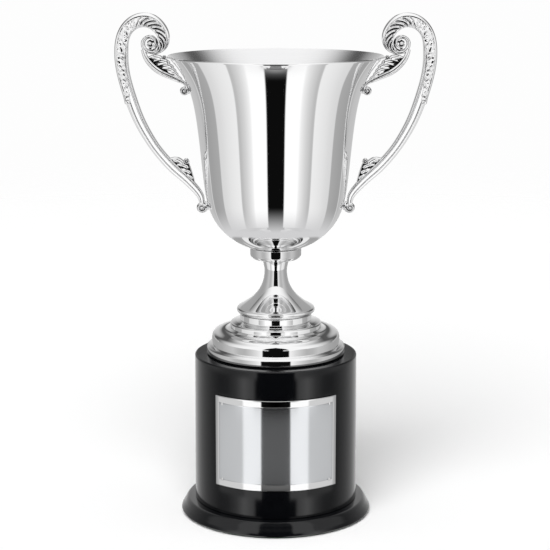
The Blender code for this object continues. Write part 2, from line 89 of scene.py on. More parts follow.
# ----------------------------------------------------------------- node materials
class Graph:
    """Short calls for wiring shader nodes."""

    def __init__(self, tree):
        self.tree = tree

    def add(self, kind, **settings):
        node = self.tree.nodes.new("ShaderNode" + kind)
        for key, value in settings.items():
            setattr(node, key, value)
        return node

    def feed(self, socket, value):
        if isinstance(value, bpy.types.NodeSocket):
            self.tree.links.new(value, socket)
        else:
            socket.default_value = value

    def math(self, operation, *values):
        node = self.add("Math", operation=operation)
        for socket, value in zip(node.inputs, values):
            self.feed(socket, value)
        return node.outputs[0]

    def span(self, value, from_min, from_max, to_min=0.0, to_max=1.0, shape="SMOOTHSTEP"):
        node = self.add("MapRange", interpolation_type=shape, clamp=True)
        for socket, item in zip(node.inputs, (value, from_min, from_max, to_min, to_max)):
            self.feed(socket, item)
        return node.outputs[0]

    def mix(self, factor, a, b):
        """Number between a and b."""
        node = self.add("Mix", data_type="FLOAT", clamp_factor=True)
        for socket, item in zip((node.inputs[0], node.inputs[2], node.inputs[3]), (factor, a, b)):
            self.feed(socket, item)
        return node.outputs[0]

    def split(self, vector):
        """The x, y and z of a vector."""
        node = self.add("SeparateXYZ")
        self.feed(node.inputs[0], vector)
        return node.outputs

    def distance(self, x, y):
        squares = self.math("ADD", self.math("MULTIPLY", x, x), self.math("MULTIPLY", y, y))
        return self.math("SQRT", squares)

    def ramp(self, value, stops):
        """Grey curve through (position, value) stops; values may pass 1 up to RAMP_TOP."""
        node = self.add("ValToRGB")
        elements = node.color_ramp.elements
        while len(elements) > 1:
            elements.remove(elements[-1])
        for number, (place, grey) in enumerate(stops):
            element = elements[0] if number == 0 else elements.new(place)
            element.position = place
            level = grey / RAMP_TOP
            element.color = (level, level, level, 1.0)
        self.feed(node.inputs[0], value)
        return self.math("MULTIPLY", node.outputs[0], RAMP_TOP)

    def tint(self, factor, dark, light):
        """Colour between dark and light."""
        node = self.add("Mix", data_type="RGBA", clamp_factor=True)
        for socket, item in zip((node.inputs[0], node.inputs[6], node.inputs[7]),
                                (factor, (*dark, 1.0), (*light, 1.0))):
            self.feed(socket, item)
        return node.outputs[2]

    def noise(self, vector, scale, detail=3.0, roughness=0.55, dimensions="3D"):
        node = self.add("TexNoise", noise_dimensions=dimensions)
        self.feed(node.inputs["Vector"], vector)
        node.inputs["Scale"].default_value = scale
        node.inputs["Detail"].default_value = detail
        node.inputs["Roughness"].default_value = roughness
        return node.outputs[0]

    def bump(self, height, distance):
        node = self.add("Bump")
        node.inputs["Strength"].default_value = 1.0
        node.inputs["Distance"].default_value = distance
        self.feed(node.inputs["Height"], height)
        return node.outputs[0]


def new_material(name):
    """Material with its graph, its Principled shader and its object coordinates."""
    mat = bpy.data.materials.new(name)
    mat.use_nodes = True
    graph = Graph(mat.node_tree)
    shader = mat.node_tree.nodes["Principled BSDF"]
    place = graph.add("TexCoord").outputs["Object"]
    return mat, graph, shader, place


# Grey of the painted shade in the narrow hollows of cast pieces
HOLLOW_SHADE_GREY = (0.16, 0.16, 0.17)


def polished_silver(name="polished_silver", roughness=0.035, colour=0.94, wave=0.0, depth=0.0):
    """Silver plate: a mirror with faint wiping marks and thin patches of tarnish.

    With a depth, hollows narrower than it get painted shade: an ambient-occlusion node darkens their
    base colour.
    """
    mat, graph, shader, place = new_material(name)
    patch = graph.noise(place, 45.0, 2.0)
    tone = (colour * 0.985, colour * 0.985, colour * 0.99)
    shine = graph.tint(patch, tone, (colour, colour, colour))
    if depth:
        # Painted shade: the base colour turns grey where ambient occlusion finds a hollow
        hollow_shade = graph.add("AmbientOcclusion", samples=8)
        hollow_shade.inputs["Distance"].default_value = depth
        shaded_colour = graph.add("Mix", data_type="RGBA", clamp_factor=True)
        graph.feed(shaded_colour.inputs[0], graph.span(hollow_shade.outputs["AO"], 0.15, 0.70))
        graph.feed(shaded_colour.inputs[6], (*HOLLOW_SHADE_GREY, 1.0))
        graph.feed(shaded_colour.inputs[7], shine)
        shine = shaded_colour.outputs[2]
    graph.feed(shader.inputs["Base Color"], shine)
    shader.inputs["Metallic"].default_value = 1.0
    wipe = graph.noise(place, 260.0, 4.0)
    graph.feed(shader.inputs["Roughness"], graph.mix(wipe, roughness * 0.8, roughness * 1.25))
    if wave:
        graph.feed(shader.inputs["Normal"], graph.bump(graph.noise(place, 320.0, 3.0), wave))
    return mat


def ring_lines(graph, place, per_mm):
    """Noise that only changes along a turned piece's profile: the marks of a spinning lathe."""
    x, y, z = graph.split(place)
    join = graph.add("CombineXYZ")
    graph.feed(join.inputs[0], graph.distance(x, y))
    graph.feed(join.inputs[1], z)
    return graph.noise(join.outputs[0], per_mm / MM, 5.0, 0.7, "2D")


def satin_metal(name, colour, roughness, anisotropy, depth, upright=False):
    """Brushed or spun metal whose fine lines run round Z, with the shine stretched across them."""
    mat, graph, shader, place = new_material(name)
    marks = ring_lines(graph, place, 1.5)
    light = tuple(min(1.0, part * 1.04) for part in colour)
    dark = tuple(part * 0.94 for part in colour)
    graph.feed(shader.inputs["Base Color"], graph.tint(marks, dark, light))
    shader.inputs["Metallic"].default_value = 1.0
    graph.feed(shader.inputs["Roughness"], graph.mix(marks, roughness * 0.85, roughness * 1.15))
    shader.inputs["Anisotropic"].default_value = anisotropy
    if upright:
        up = graph.add("CombineXYZ")
        up.inputs[2].default_value = 1.0
        graph.feed(shader.inputs["Tangent"], up.outputs[0])
    else:
        shader.inputs["Anisotropic Rotation"].default_value = 0.25
        tangent = graph.add("Tangent", direction_type="RADIAL", axis="Z")
        graph.feed(shader.inputs["Tangent"], tangent.outputs[0])
    graph.feed(shader.inputs["Normal"], graph.bump(marks, depth))
    return mat


def plain_metal(name, colour, roughness):
    """Machined or plated metal with fine random grain."""
    mat, graph, shader, place = new_material(name)
    grain = graph.noise(place, 900.0, 4.0)
    dark = tuple(part * 0.88 for part in colour)
    graph.feed(shader.inputs["Base Color"], graph.tint(grain, dark, colour))
    shader.inputs["Metallic"].default_value = 1.0
    graph.feed(shader.inputs["Roughness"], graph.mix(grain, roughness * 0.8, roughness * 1.3))
    graph.feed(shader.inputs["Normal"], graph.bump(grain, 0.000006))
    return mat


def gloss_black():
    """Moulded black plinth: semi-gloss, with a slight orange peel."""
    mat, graph, shader, place = new_material("plinth_black")
    cloud = graph.noise(place, 30.0, 3.0)
    graph.feed(shader.inputs["Base Color"],
               graph.tint(cloud, (0.0016, 0.0018, 0.0024), (0.0026, 0.0029, 0.0038)))
    peel = graph.noise(place, 420.0, 2.0)
    graph.feed(shader.inputs["Roughness"], graph.mix(cloud, 0.13, 0.17))
    graph.feed(shader.inputs["Normal"], graph.bump(peel, 0.000008))
    shader.inputs["IOR"].default_value = 1.5
    return mat


def felt_cloth():
    mat, graph, shader, place = new_material("felt_green")
    fibre = graph.noise(place, 1400.0, 6.0, 0.75)
    graph.feed(shader.inputs["Base Color"], graph.tint(fibre, (0.004, 0.016, 0.008),
                                                       (0.02, 0.06, 0.03)))
    shader.inputs["Roughness"].default_value = 1.0
    shader.inputs["Sheen Weight"].default_value = 0.4
    graph.feed(shader.inputs["Normal"], graph.bump(fibre, 0.0003))
    return mat


def rubber_black():
    mat, graph, shader, place = new_material("gasket_rubber")
    grain = graph.noise(place, 700.0, 4.0)
    graph.feed(shader.inputs["Base Color"], graph.tint(grain, (0.012, 0.012, 0.012),
                                                       (0.03, 0.03, 0.03)))
    shader.inputs["Roughness"].default_value = 0.7
    graph.feed(shader.inputs["Normal"], graph.bump(grain, 0.00004))
    return mat


SILVER = polished_silver()
# Cast silver of the handles, with painted shade in hollows narrower than 1.4 mm
CAST_SILVER = polished_silver("cast_silver", roughness=0.09, colour=0.96, wave=0.000012,
                              depth=0.0014)
SATIN_SILVER = satin_metal("spun_satin_silver", (0.90, 0.90, 0.905), 0.22, 0.75, 0.000012)
PLATE_SATIN = satin_metal("plate_satin", (0.80, 0.815, 0.835), 0.21, 1.0, 0.000004, upright=True)
PLATE_POLISH = polished_silver("plate_polish", roughness=0.05)
STEEL = plain_metal("zinc_steel", (0.60, 0.61, 0.63), 0.30)
BRASS = plain_metal("turned_brass", (0.78, 0.60, 0.28), 0.26)
BLACK = gloss_black()
FELT = felt_cloth()
RUBBER = rubber_black()


# --------------------------------------------------------------------- outlines
def spline(points, per_span):
    """Natural cubic curve through rows of numbers, with per_span steps between two of them."""
    knots = np.array(points, float)
    gap = np.sqrt(np.linalg.norm(np.diff(knots[:, :2], axis=0), axis=1))
    count = len(knots)
    system = np.eye(count)
    bend = np.zeros_like(knots)
    for i in range(1, count - 1):
        a, b = gap[i - 1], gap[i]
        system[i, i - 1:i + 2] = a, 2 * (a + b), b
        bend[i] = 6 * ((knots[i + 1] - knots[i]) / b - (knots[i] - knots[i - 1]) / a)
    curve = np.linalg.solve(system, bend)
    path = []
    for i, h in enumerate(gap):
        for t in h * np.arange(per_span) / per_span:
            path.append((curve[i] * (h - t) ** 3 + curve[i + 1] * t ** 3) / (6 * h)
                        + (knots[i] / h - curve[i] * h / 6) * (h - t)
                        + (knots[i + 1] / h - curve[i + 1] * h / 6) * t)
    path.append(knots[-1])
    return [tuple(row) for row in path]


def rounded(corners, step=12.0):
    """Outline through (r, z, fillet radius) corners; a corner without a radius stays sharp."""
    count = len(corners)
    outline = []
    for i, (r, z, *fillet) in enumerate(corners):
        here = np.array((r, z))
        if not fillet or i in (0, count - 1):
            outline.append((r, z))
            continue
        before = np.array(corners[i - 1][:2]) - here
        after = np.array(corners[i + 1][:2]) - here
        before /= np.linalg.norm(before)
        after /= np.linalg.norm(after)
        half = math.acos(np.clip(before @ after, -1.0, 1.0)) / 2
        middle = before + after
        middle /= np.linalg.norm(middle)
        centre = here + middle * fillet[0] / math.sin(half)
        start = here + before * fillet[0] / math.tan(half) - centre
        turn = math.pi - 2 * half
        sign = math.copysign(1.0, start[0] * (here - centre)[1] - start[1] * (here - centre)[0])
        steps = max(2, int(math.degrees(turn) / step))
        for k in range(steps + 1):
            angle = sign * turn * k / steps
            spun = (start[0] * math.cos(angle) - start[1] * math.sin(angle),
                    start[0] * math.sin(angle) + start[1] * math.cos(angle))
            outline.append((centre[0] + spun[0], centre[1] + spun[1]))
    return outline


def offset_outline(outline, distance):
    """Shift an open outline to its right, which is inwards for an outer wall that runs down."""
    points = np.array(outline, float)
    along = np.gradient(points, axis=0)
    along /= np.linalg.norm(along, axis=1)[:, None]
    shifted = points + np.column_stack([along[:, 1], -along[:, 0]]) * distance
    return [tuple(row) for row in shifted]


# ---------------------------------------------------------------------- meshes
def make_object(name, vertices, faces, mat, sharp=35.0):
    """Closed mesh object from points in millimetres, with its normals out and its creases sharp."""
    mesh = bpy.data.meshes.new(name)
    mesh.from_pydata((np.array(vertices, float) * MM).tolist(), [], faces)
    work = bmesh.new()
    work.from_mesh(mesh)
    bmesh.ops.recalc_face_normals(work, faces=work.faces)
    work.to_mesh(mesh)
    work.free()
    if mat:
        mesh.materials.append(mat)
    obj = bpy.data.objects.new(name, mesh)
    bpy.context.scene.collection.objects.link(obj)
    crease(obj, sharp)
    return obj


def crease(obj, sharp):
    obj.data.shade_smooth()
    obj.data.set_sharp_from_angle(angle=math.radians(sharp))


def skin(i, j, around):
    """Four-sided faces between ring i and ring j of a mesh whose rings have around points."""
    for k in range(around):
        n = (k + 1) % around
        yield i * around + k, i * around + n, j * around + n, j * around + k


def fan(centre, ring, around):
    """Triangles that close a ring to a point."""
    for k in range(around):
        yield centre, ring * around + k, ring * around + (k + 1) % around


def turned(name, outline, mat, steps=TURNED_STEPS, sharp=35.0):
    """Turn an (r, z) outline about Z. It is a closed loop, or open with both its ends on the axis."""
    solid = outline[0][0] == 0.0
    rings = outline[1:-1] if solid else outline
    angles = np.arange(steps) * 2 * math.pi / steps
    vertices = [(r * math.cos(a), r * math.sin(a), z) for r, z in rings for a in angles]
    faces = []
    pairs = list(zip(range(len(rings) - 1), range(1, len(rings))))
    if not solid:
        pairs.append((len(rings) - 1, 0))
    for i, j in pairs:
        faces += skin(i, j, steps)
    if solid:
        for ring, point in ((0, outline[0]), (len(rings) - 1, outline[-1])):
            faces += fan(len(vertices), ring, steps)
            vertices.append((0.0, 0.0, point[1]))
    return make_object(name, vertices, faces, mat, sharp)


def loft(name, rings, mat, sharp=40.0):
    """Close a skin over an array of rings, rings x points x 3, with a fan over each end."""
    count, around, _ = rings.shape
    vertices = rings.reshape(-1, 3).tolist()
    faces = []
    for i in range(count - 1):
        faces += skin(i, i + 1, around)
    for i in (0, count - 1):
        faces += fan(len(vertices), i, around)
        vertices.append(rings[i].mean(0).tolist())
    return make_object(name, vertices, faces, mat, sharp)


def apply_modifiers(obj):
    bpy.context.view_layer.update()
    graph = bpy.context.evaluated_depsgraph_get()
    mesh = bpy.data.meshes.new_from_object(obj.evaluated_get(graph))
    obj.modifiers.clear()
    obj.data = mesh


def combine(obj, others, operation="UNION"):
    """Join or cut obj with other closed meshes, which are then removed."""
    for other in others:
        if not other.data.materials:
            other.data.materials.append(obj.data.materials[0])
        step = obj.modifiers.new(operation.title(), "BOOLEAN")
        step.operation = operation
        step.solver = "MANIFOLD"
        step.object = other
    apply_modifiers(obj)
    for other in others:
        bpy.data.objects.remove(other)
    return obj


def aim(obj, place, out):
    """Put a piece that was made about the Z axis at a place, with +Z turned to a direction."""
    turn = out.to_track_quat("Z", "Y").to_matrix().to_4x4()
    obj.data.transform(Matrix.Translation(place * MM) @ turn)
    return obj


def show(obj, node, body=TROPHY):
    """Parent a piece to the empty of the body it moves with, and hide the CAD node that it stands
    for.
    """
    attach(obj, body)
    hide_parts(node)


# -------------------------------------------------------------- bowl and its wall
# Radius and height along the outside of the wall, from the flare down to the bottom.
WALL = [(RIM_R - 0.8, RIM_Z - 0.9), (65.3, 299.6), (61.6, 294.6), (57.8, 287.8), (54.4, 278.0),
        (51.8, 265.0), (49.4, 245.5), (47.1, 223.5), (44.3, 207.8), (38.9, 195.9), (29.1, 185.9),
        (18.9, 180.5), (13.0, BOWL_Z0)]
RIM_ROUND = 0.75
WALL_STEPS = 8


def wall_at(z):
    """Outer radius of the bowl at height z, and the wall's slope dr/dz there."""
    rise = 0.5
    rows = np.array(spline(WALL, WALL_STEPS))[::-1]
    radius = np.interp(z, rows[:, 1], rows[:, 0])
    above = np.interp(z + rise, rows[:, 1], rows[:, 0])
    return radius, (above - radius) / rise


def arc(centre, radius, angles):
    return [(centre[0] + radius * math.cos(a), centre[1] + radius * math.sin(a))
            for a in np.radians(angles)]


def make_bowl():
    """Thin shell, polished outside and satin inside, with a rolled rim."""
    outer = spline(WALL, WALL_STEPS)
    inner = offset_outline(outer, BOWL_WALL)[::-1]
    centre = (RIM_R - RIM_ROUND, RIM_Z - RIM_ROUND)
    rim = arc(centre, RIM_ROUND, np.linspace(150, -50, 15))
    outline = (rim + outer[1:] + [(ROD_HOLE_R, BOWL_Z0), (ROD_HOLE_R, BOWL_Z0 + BOWL_WALL)]
               + inner[:-1])
    bowl = turned("cup_bowl", outline, SILVER)
    bowl.data.materials.append(SATIN_SILVER)
    inside_from = len(rim) + len(outer) + 1
    for face in bowl.data.polygons:
        ring = face.vertices[0] // TURNED_STEPS
        face.material_index = int(ring >= inside_from)
    show(bowl, "bowl")


# ---------------------------------------------------------- collar, stem and foot
def make_collar():
    """Cupped ring under the bowl, whose rim comes up to meet the bowl's curve."""
    wall = np.array(spline(WALL, WALL_STEPS))[::-1]
    seat = [(r, np.interp(r, wall[:, 0], wall[:, 1]) - 0.45) for r in (13.4, 14.4, 15.4, 16.5)]
    rim_z = np.interp(COLLAR_R, wall[:, 0], wall[:, 1]) - 0.75
    outline = [(ROD_HOLE_R, COLLAR_Z1)] + seat
    outline += [(COLLAR_R, rim_z, 0.35), (COLLAR_R, COLLAR_Z0 + 2.4, 2.3),
                (14.4, COLLAR_Z0 + 0.3, 1.5), (10.6, COLLAR_Z0, 1.5), (ROD_HOLE_R, COLLAR_Z0)]
    show(turned("collar_ring", rounded(outline, 8.0), SILVER), "collar")


def make_stem():
    """Hollow trumpet that flares down to a rounded knop."""
    knop_top = (24.0, 140.5)
    trumpet = spline([(8.6, STEM_Z1 - 0.5), (8.3, 169.8), (7.7, 167.0), (7.35, 163.8),
                      (7.7, 160.0), (9.0, 155.2), (12.6, 149.2), (18.0, 144.2), knop_top], 8)
    knop = spline([knop_top, (25.3, 139.5), (KNOP_R, 138.4), (25.6, 137.2), (24.7, 136.3),
                   (23.6, STEM_Z0)], 5)[1:]
    inner = spline([(22.0, STEM_Z0), (22.6, 137.8), (21.6, 140.0), (16.8, 143.4),
                    (11.2, 147.8), (7.6, 153.6), (6.0, 160.0), (5.6, 166.0)], 4)
    outline = [(ROD_HOLE_R, STEM_Z1), (8.0, STEM_Z1)] + trumpet + knop + inner
    outline += [(ROD_HOLE_R, 167.4)]
    show(turned("trumpet_stem", outline, SILVER), "stem")


def make_foot():
    """Stepped foot: a neck, a round step, a low shoulder and a dome on a thin flange."""
    dome_r = FLANGE_R - 3.5
    top = [(ROD_HOLE_R, FOOT_Z1), (23.7, FOOT_Z1, 0.6), (23.7, 131.3, 0.5), (26.3, 130.5, 0.6),
           (30.2, 129.6, 1.6), (30.4, 126.4, 0.5), (32.4, 125.3, 1.2)]
    shoulder = spline([(33.4, 125.1), (36.8, 124.8), (39.6, 123.9), (41.5, 122.2),
                       (dome_r, 119.6)], 6)
    flange = [(dome_r, 114.9, 0.4), (FLANGE_R - 1.1, 114.5, 0.5), (FLANGE_R, 113.3, 0.9),
              (FLANGE_R, FOOT_Z0, 0.3), (44.6, FOOT_Z0)]
    under = [(44.4, 111.9), (41.3, 112.4), (41.3, 118.8), (40.5, 121.0), (38.6, 122.6),
             (35.8, 123.6), (31.4, 124.1), (29.4, 125.4), (28.8, 128.2), (25.6, 129.3),
             (22.7, 130.3), (22.7, FOOT_Z1 - 1.0), (ROD_HOLE_R, FOOT_Z1 - 1.0)]
    outline = rounded(top + [shoulder[0]], 8.0)[:-1] + shoulder
    outline += rounded([shoulder[-1]] + flange, 8.0)[1:] + under
    show(turned("stepped_foot", outline, SILVER), "foot")


def flat_ring(name, radii, heights, fillet, mat, steps=TURNED_STEPS):
    """Flat ring between two radii and two heights, with its outer edges eased."""
    (inner, outer), (low, high) = radii, heights
    outline = [(inner, high), (outer, high, fillet), (outer, low, fillet), (inner, low)]
    return turned(name, rounded(outline, 30.0), mat, steps)


def make_gasket():
    ring = flat_ring("foot_seal", (36.0, GASKET_R), (GASKET_Z0, GASKET_Z1), 0.1, RUBBER)
    show(ring, "foot_gasket")


# ------------------------------------------------------------------------ plinth
DRUM_WALL_R = 45.0
DRUM_TOP = 8.0


def make_drum():
    """Black drum with a slight draft, a soft top edge and a moulded lip inside its foot."""
    top_r = DRUM_R - 0.5
    outline = [(ROD_HOLE_R, DRUM_Z1), (top_r, DRUM_Z1, 1.1), (DRUM_R, DRUM_Z0, 0.2),
               (DRUM_WALL_R, DRUM_Z0), (DRUM_WALL_R, DRUM_Z1 - DRUM_TOP, 3.0),
               (ROD_HOLE_R, DRUM_Z1 - DRUM_TOP)]
    drum = turned("plinth_drum", rounded(outline, 6.0), BLACK)
    show(drum, "plinth_body")


def make_skirt():
    """Spreading foot of the plinth: a small ledge, then an ogee down to a rounded toe."""
    flare = spline([(59.6, 9.15), (60.5, 7.9), (61.4, 6.2), (62.5, 4.4), (63.2, 3.1),
                    (BASE_R, 2.3), (BASE_R - 0.15, 1.6), (BASE_R - 0.7, BASE_Z0)], 5)
    inner_r = 40.0
    outline = [(inner_r, BASE_Z1), (58.4, BASE_Z1), (58.9, BASE_Z1 - 0.1)] + flare
    outline += [(inner_r, BASE_Z0)]
    show(turned("plinth_skirt", outline, BLACK), "plinth_base")


def make_felt():
    ring = flat_ring("felt_ring", (42.0, FELT_R), (FELT_Z0, FELT_Z1), 0.15, FELT)
    show(ring, "base_felt")


# ---------------------------------------------------------------------- handles
# Stations run along each bar: |x|, z, half its width and half its depth towards the front.
ARM = [(48.4, 208.6, 1.7, 1.9), (49.2, 213.4, 2.3, 2.4), (53.6, 219.5, 2.8, 2.8),
       (59.6, 225.6, 3.1, 3.0), (66.3, 231.6, 3.3, 3.1), (72.4, 238.0, 3.3, 3.1),
       (78.3, 245.4, 3.3, 3.1), (84.1, 254.6, 3.5, 3.2), (88.9, 264.0, 3.7, 3.4),
       (92.6, 273.6, 3.9, 3.6), (95.6, 283.0, 4.0, 3.7), (97.9, 292.0, 4.1, 3.8),
       (99.1, 300.0, 4.3, 3.9), (99.3, 308.0, 4.4, 4.0), (98.2, 316.4, 4.2, 4.1),
       (95.1, 322.5, 4.2, 4.2), (90.1, 326.4, 4.4, 4.3), (84.0, 327.6, 4.5, 4.4),
       (78.5, 325.9, 4.5, 4.4), (74.3, 322.0, 4.2, 4.3), (72.2, 317.0, 3.8, 4.0),
       (72.6, 311.9, 2.9, 3.5), (75.2, 308.6, 1.9, 2.8), (78.4, 307.0, 0.9, 2.0)]
LEAF_TIP_Z = 275.2              # the acanthus starts here on the outer side of the arm
VOLUTE = (80.9, 313.0)          # centre of the upper scroll
BRACKET = [(56.6, 281.8, 0.9, 1.9), (57.0, 284.4, 1.1, 2.1), (59.2, 287.4, 1.2, 2.3),
           (62.6, 289.1, 1.5, 2.5), (66.0, 290.7, 1.8, 2.7), (70.4, 292.6, 2.0, 2.9),
           (75.5, 295.2, 2.1, 3.0), (80.3, 299.2, 2.0, 3.1), (83.8, 304.2, 1.8, 3.3),
           (85.3, 309.0, 1.6, 3.6)]
UPPER_CURL = (71.9, 303.8, 1.8)
LOWER_CURL = (58.3, 236.7, 2.2)
UPPER_SCROLL = (59.3, 282.3, 3.4)
LOWER_SCROLL = (48.5, 206.0, 4.2)
SCROLL_DEPTH = 3.1
PETAL_DEPTH = 2.8               # half the depth of a palmette's ribs, then of its backing
LEAF_DEPTH = 2.3
SCROLL_START = 180              # turn at which an end scroll's band begins

# Half sections from the outer edge to the inner one: place across the width and depth.
ARM_SECTION = [(1.0, 0.0), (0.99, 0.26), (0.90, 0.48), (0.60, 0.65), (0.2, 0.77), (-0.1, 0.85),
               (-0.35, 0.92), (-0.58, 0.98), (-0.8, 0.92), (-0.95, 0.6), (-1.0, 0.0)]
ROUND_SECTION = [(1.0, 0.0), (0.98, 0.35), (0.86, 0.68), (0.5, 0.93), (0.0, 1.0),
                 (-0.5, 0.93), (-0.86, 0.68), (-0.98, 0.35), (-1.0, 0.0)]
SECTION_RUN = 2.8               # about how long a half section is, in its own units


def run_along(rows):
    """Distance of each row's point from the first, along the path."""
    steps = np.linalg.norm(np.diff(rows[:, :2], axis=0), axis=1)
    return np.concatenate([[0.0], np.cumsum(steps)])


def even(rows, step):
    """Resample a path so that its points lie step apart."""
    rows = np.array(rows)
    run = run_along(rows)
    marks = np.linspace(0.0, run[-1], max(3, int(run[-1] / step)))
    return np.column_stack([np.interp(marks, run, column) for column in rows.T])


def sweep(name, stations, section=None, relief=None, step=0.5, count=24, per_span=10):
    """Bar in the XZ plane whose section is mirrored front to back; relief(s, n) adds height."""
    path = even(spline(stations, per_span), step)
    along = np.gradient(path[:, :2], axis=0)
    along /= np.linalg.norm(along, axis=1)[:, None]
    outward = np.column_stack([along[:, 1], -along[:, 0]])
    front = even(spline(section or ROUND_SECTION, 12), SECTION_RUN / count)
    loop = np.vstack([front * (1, -1), front[-2:0:-1]])
    tangent = np.roll(loop, -1, axis=0) - np.roll(loop, 1, axis=0)
    tangent /= np.linalg.norm(tangent, axis=1)[:, None]
    facing = np.column_stack([-tangent[:, 1], tangent[:, 0]])
    facing *= np.sign((facing * loop).sum(1).mean())
    across, depth = path[:, 2:3] * loop[:, 0], path[:, 3:4] * loop[:, 1]
    if relief is not None:
        height = relief(run_along(path)[:, None], loop[None, :, 0])
        across = across + height * facing[:, 0]
        depth = depth + height * facing[:, 1]
    rings = np.empty((len(path), len(loop), 3))
    rings[:, :, 0] = path[:, 0:1] + across * outward[:, 0:1]
    rings[:, :, 1] = depth
    rings[:, :, 2] = path[:, 1:2] + across * outward[:, 1:2]
    return loft(name, rings, CAST_SILVER, 60.0)


def smooth_step(value):
    value = np.clip(value, 0.0, 1.0)
    return value * value * (3 - 2 * value)


def groove(n, centre, width, depth):
    return -depth * np.exp(-((n - centre) / width) ** 2)


def leaf_start():
    """How far along the arm the acanthus starts."""
    step = 0.25
    path = even(spline(ARM, 10), step)
    return step * int(np.argmax(path[:, 1] > LEAF_TIP_Z - 0.6))


LEAF_START = leaf_start()
LEAF_LENGTH = 112.0
LEAF_TURN = 58.0                # from its tip to where it begins to roll over the top
CURL_PITCH = 6.2                # lobes down the arm's outer side
FLUTE_PITCH = 4.3               # flutes over the top


def arm_relief(s, n):
    """Grooves along the plain arm and the acanthus over its upper half.

    u runs along the leaf from its tip, and v across it from its outer rim at 0 to 1.
    """
    u = s - LEAF_START
    v = (1 - n) / 2
    plain = groove(n, 0.28, 0.07, 0.55) + groove(n, -0.58, 0.10, 0.80)
    leafy = smooth_step(u / 1.2)

    # Lobes lean back towards the leaf's tip as they leave the rim: open curls down the arm's
    # outer side, then long deep flutes where the leaf rolls over the top.
    over = smooth_step((u - 56.0) / 8.0)
    rim = np.interp(u, (0, 8, 45, 62, LEAF_LENGTH), (0.10, 0.18, 0.20, 0.24, 0.24))
    lean = u + (8.0 + 5.0 * over) * (v - rim) + (1 - over) * 1.1 * np.sin(6.3 * v + 0.7 * u)
    curl_turns = LEAF_TURN / CURL_PITCH
    all_turns = curl_turns + (LEAF_LENGTH - LEAF_TURN) / FLUTE_PITCH
    turn = np.interp(lean, (0, LEAF_TURN, LEAF_LENGTH), (0, curl_turns, all_turns))
    cross = turn - np.floor(turn)
    crown = np.abs(np.sin(math.pi * cross)) ** 0.6
    valley = np.exp(-(np.minimum(cross, 1 - cross) / (0.09 + 0.07 * over)) ** 2)
    flute = np.cos(2 * math.pi * 3 * cross) * crown

    reach = np.interp(u, (0, 3, 10, 27, 36, 60, LEAF_LENGTH),
                      (0.3, 0.5, 0.66, 0.74, 0.93, 0.97, 0.97))
    edge = smooth_step((reach - 0.09 * (1 - crown) - v) / 0.05)
    inside = smooth_step((v - rim) / 0.06)
    eye_v = np.interp(u, (0, 27, 40, LEAF_LENGTH), (0.52, 0.56, 0.70, 0.66))
    eye = np.exp(-((np.minimum(cross, 1 - cross) * 6.0 / 0.9) ** 2
                   + ((v - eye_v) * 8.0 / 0.8) ** 2))
    curls = (1 - over) * 0.34 * np.sin(1.35 * u + 7.0 * v) * np.sin(8.0 * v - 0.9 * u)
    wedge = (groove(n, -0.30, 0.15, 1.2) * smooth_step((u - 88.0) / 5.0)
             * smooth_step((111.0 - u) / 6.0))
    relief = (0.30 * (crown - 0.7) + (0.06 + 0.05 * over) * flute - (0.34 + 0.95 * over) * valley
              + curls - 0.8 * eye)
    height = 0.62 + inside * relief + groove(v, rim + 0.01, 0.025, 0.35) + wedge
    height -= 0.32 * np.clip(1 - v / 0.12, 0.0, 1.0)
    tip = 0.6 * np.exp(-(u / 3.5) ** 2) * smooth_step((0.42 - v) / 0.3)
    fade = smooth_step((LEAF_LENGTH - u) / 6.0)
    return plain * (1 - leafy * edge) + leafy * edge * (height * fade + tip)


def spiral(centre, start, end, radius, decay, width, depth):
    """Stations of a log spiral band whose outer edge is radius from the centre at the start."""
    angles = np.radians(np.arange(start, end + 1, 12.0))
    turned_by = angles - angles[0]
    edge = radius * np.exp(-decay * turned_by)
    half = width * edge
    middle = edge - half
    return [(centre[0] + m * math.cos(a), centre[1] + m * math.sin(a), h, depth)
            for a, m, h in zip(angles, middle, half)]


def bead(name, x, z, radius, depth):
    """Domed button lying in the XZ plane with both its faces rounded."""
    profile = [(0.0, depth)] + [(radius * math.sin(a), depth * math.cos(a) ** 0.7)
                                for a in np.radians((18, 36, 54, 70, 82))]
    profile += [(radius, 0.0)] + [(r, -y) for r, y in profile[::-1]]
    button = turned(name, profile, CAST_SILVER, TINY_STEPS, 60.0)
    turn = Matrix.Rotation(math.pi / 2, 4, "X")
    button.data.transform(Matrix.Translation((x * MM, 0.0, z * MM)) @ turn)
    return button


def end_scroll(name, place, start, depth):
    """Curled end of a bar: a spiral band round a bead, on a thin disc."""
    x, z, radius = place
    band = spiral((x, z), start, start + 470, radius, 0.115, 0.25, depth)
    return [sweep(name + "_band", band, step=0.4, count=12, per_span=3),
            bead(name + "_bead", x, z, radius * 0.34, depth * 1.05),
            bead(name + "_core", x, z, radius * 0.8, depth * 0.72)]


def petals(name, roots, tips, widths, depth):
    """Overlapping tapered ribs of a half palmette, from the bar out to its lobed edge."""
    ribs = []
    for k, (root, tip, width) in enumerate(zip(roots, tips, widths)):
        root, tip = np.array(root), np.array(tip)
        bow = np.array((tip[1] - root[1], root[0] - tip[0])) * 0.12
        rows = [(*root, 0.5, depth * 0.75),
                (*(root * 0.6 + tip * 0.4 + bow), width * 0.8, depth * 0.92),
                (*(root * 0.2 + tip * 0.8 + bow * 0.6), width, depth),
                (*tip, width * 0.75, depth * 0.9),
                (*(tip + (tip - root) * 0.06), width * 0.3, depth * 0.5)]
        ribs.append(sweep(f"{name}_{k}", rows, step=0.35, count=12))
    return ribs


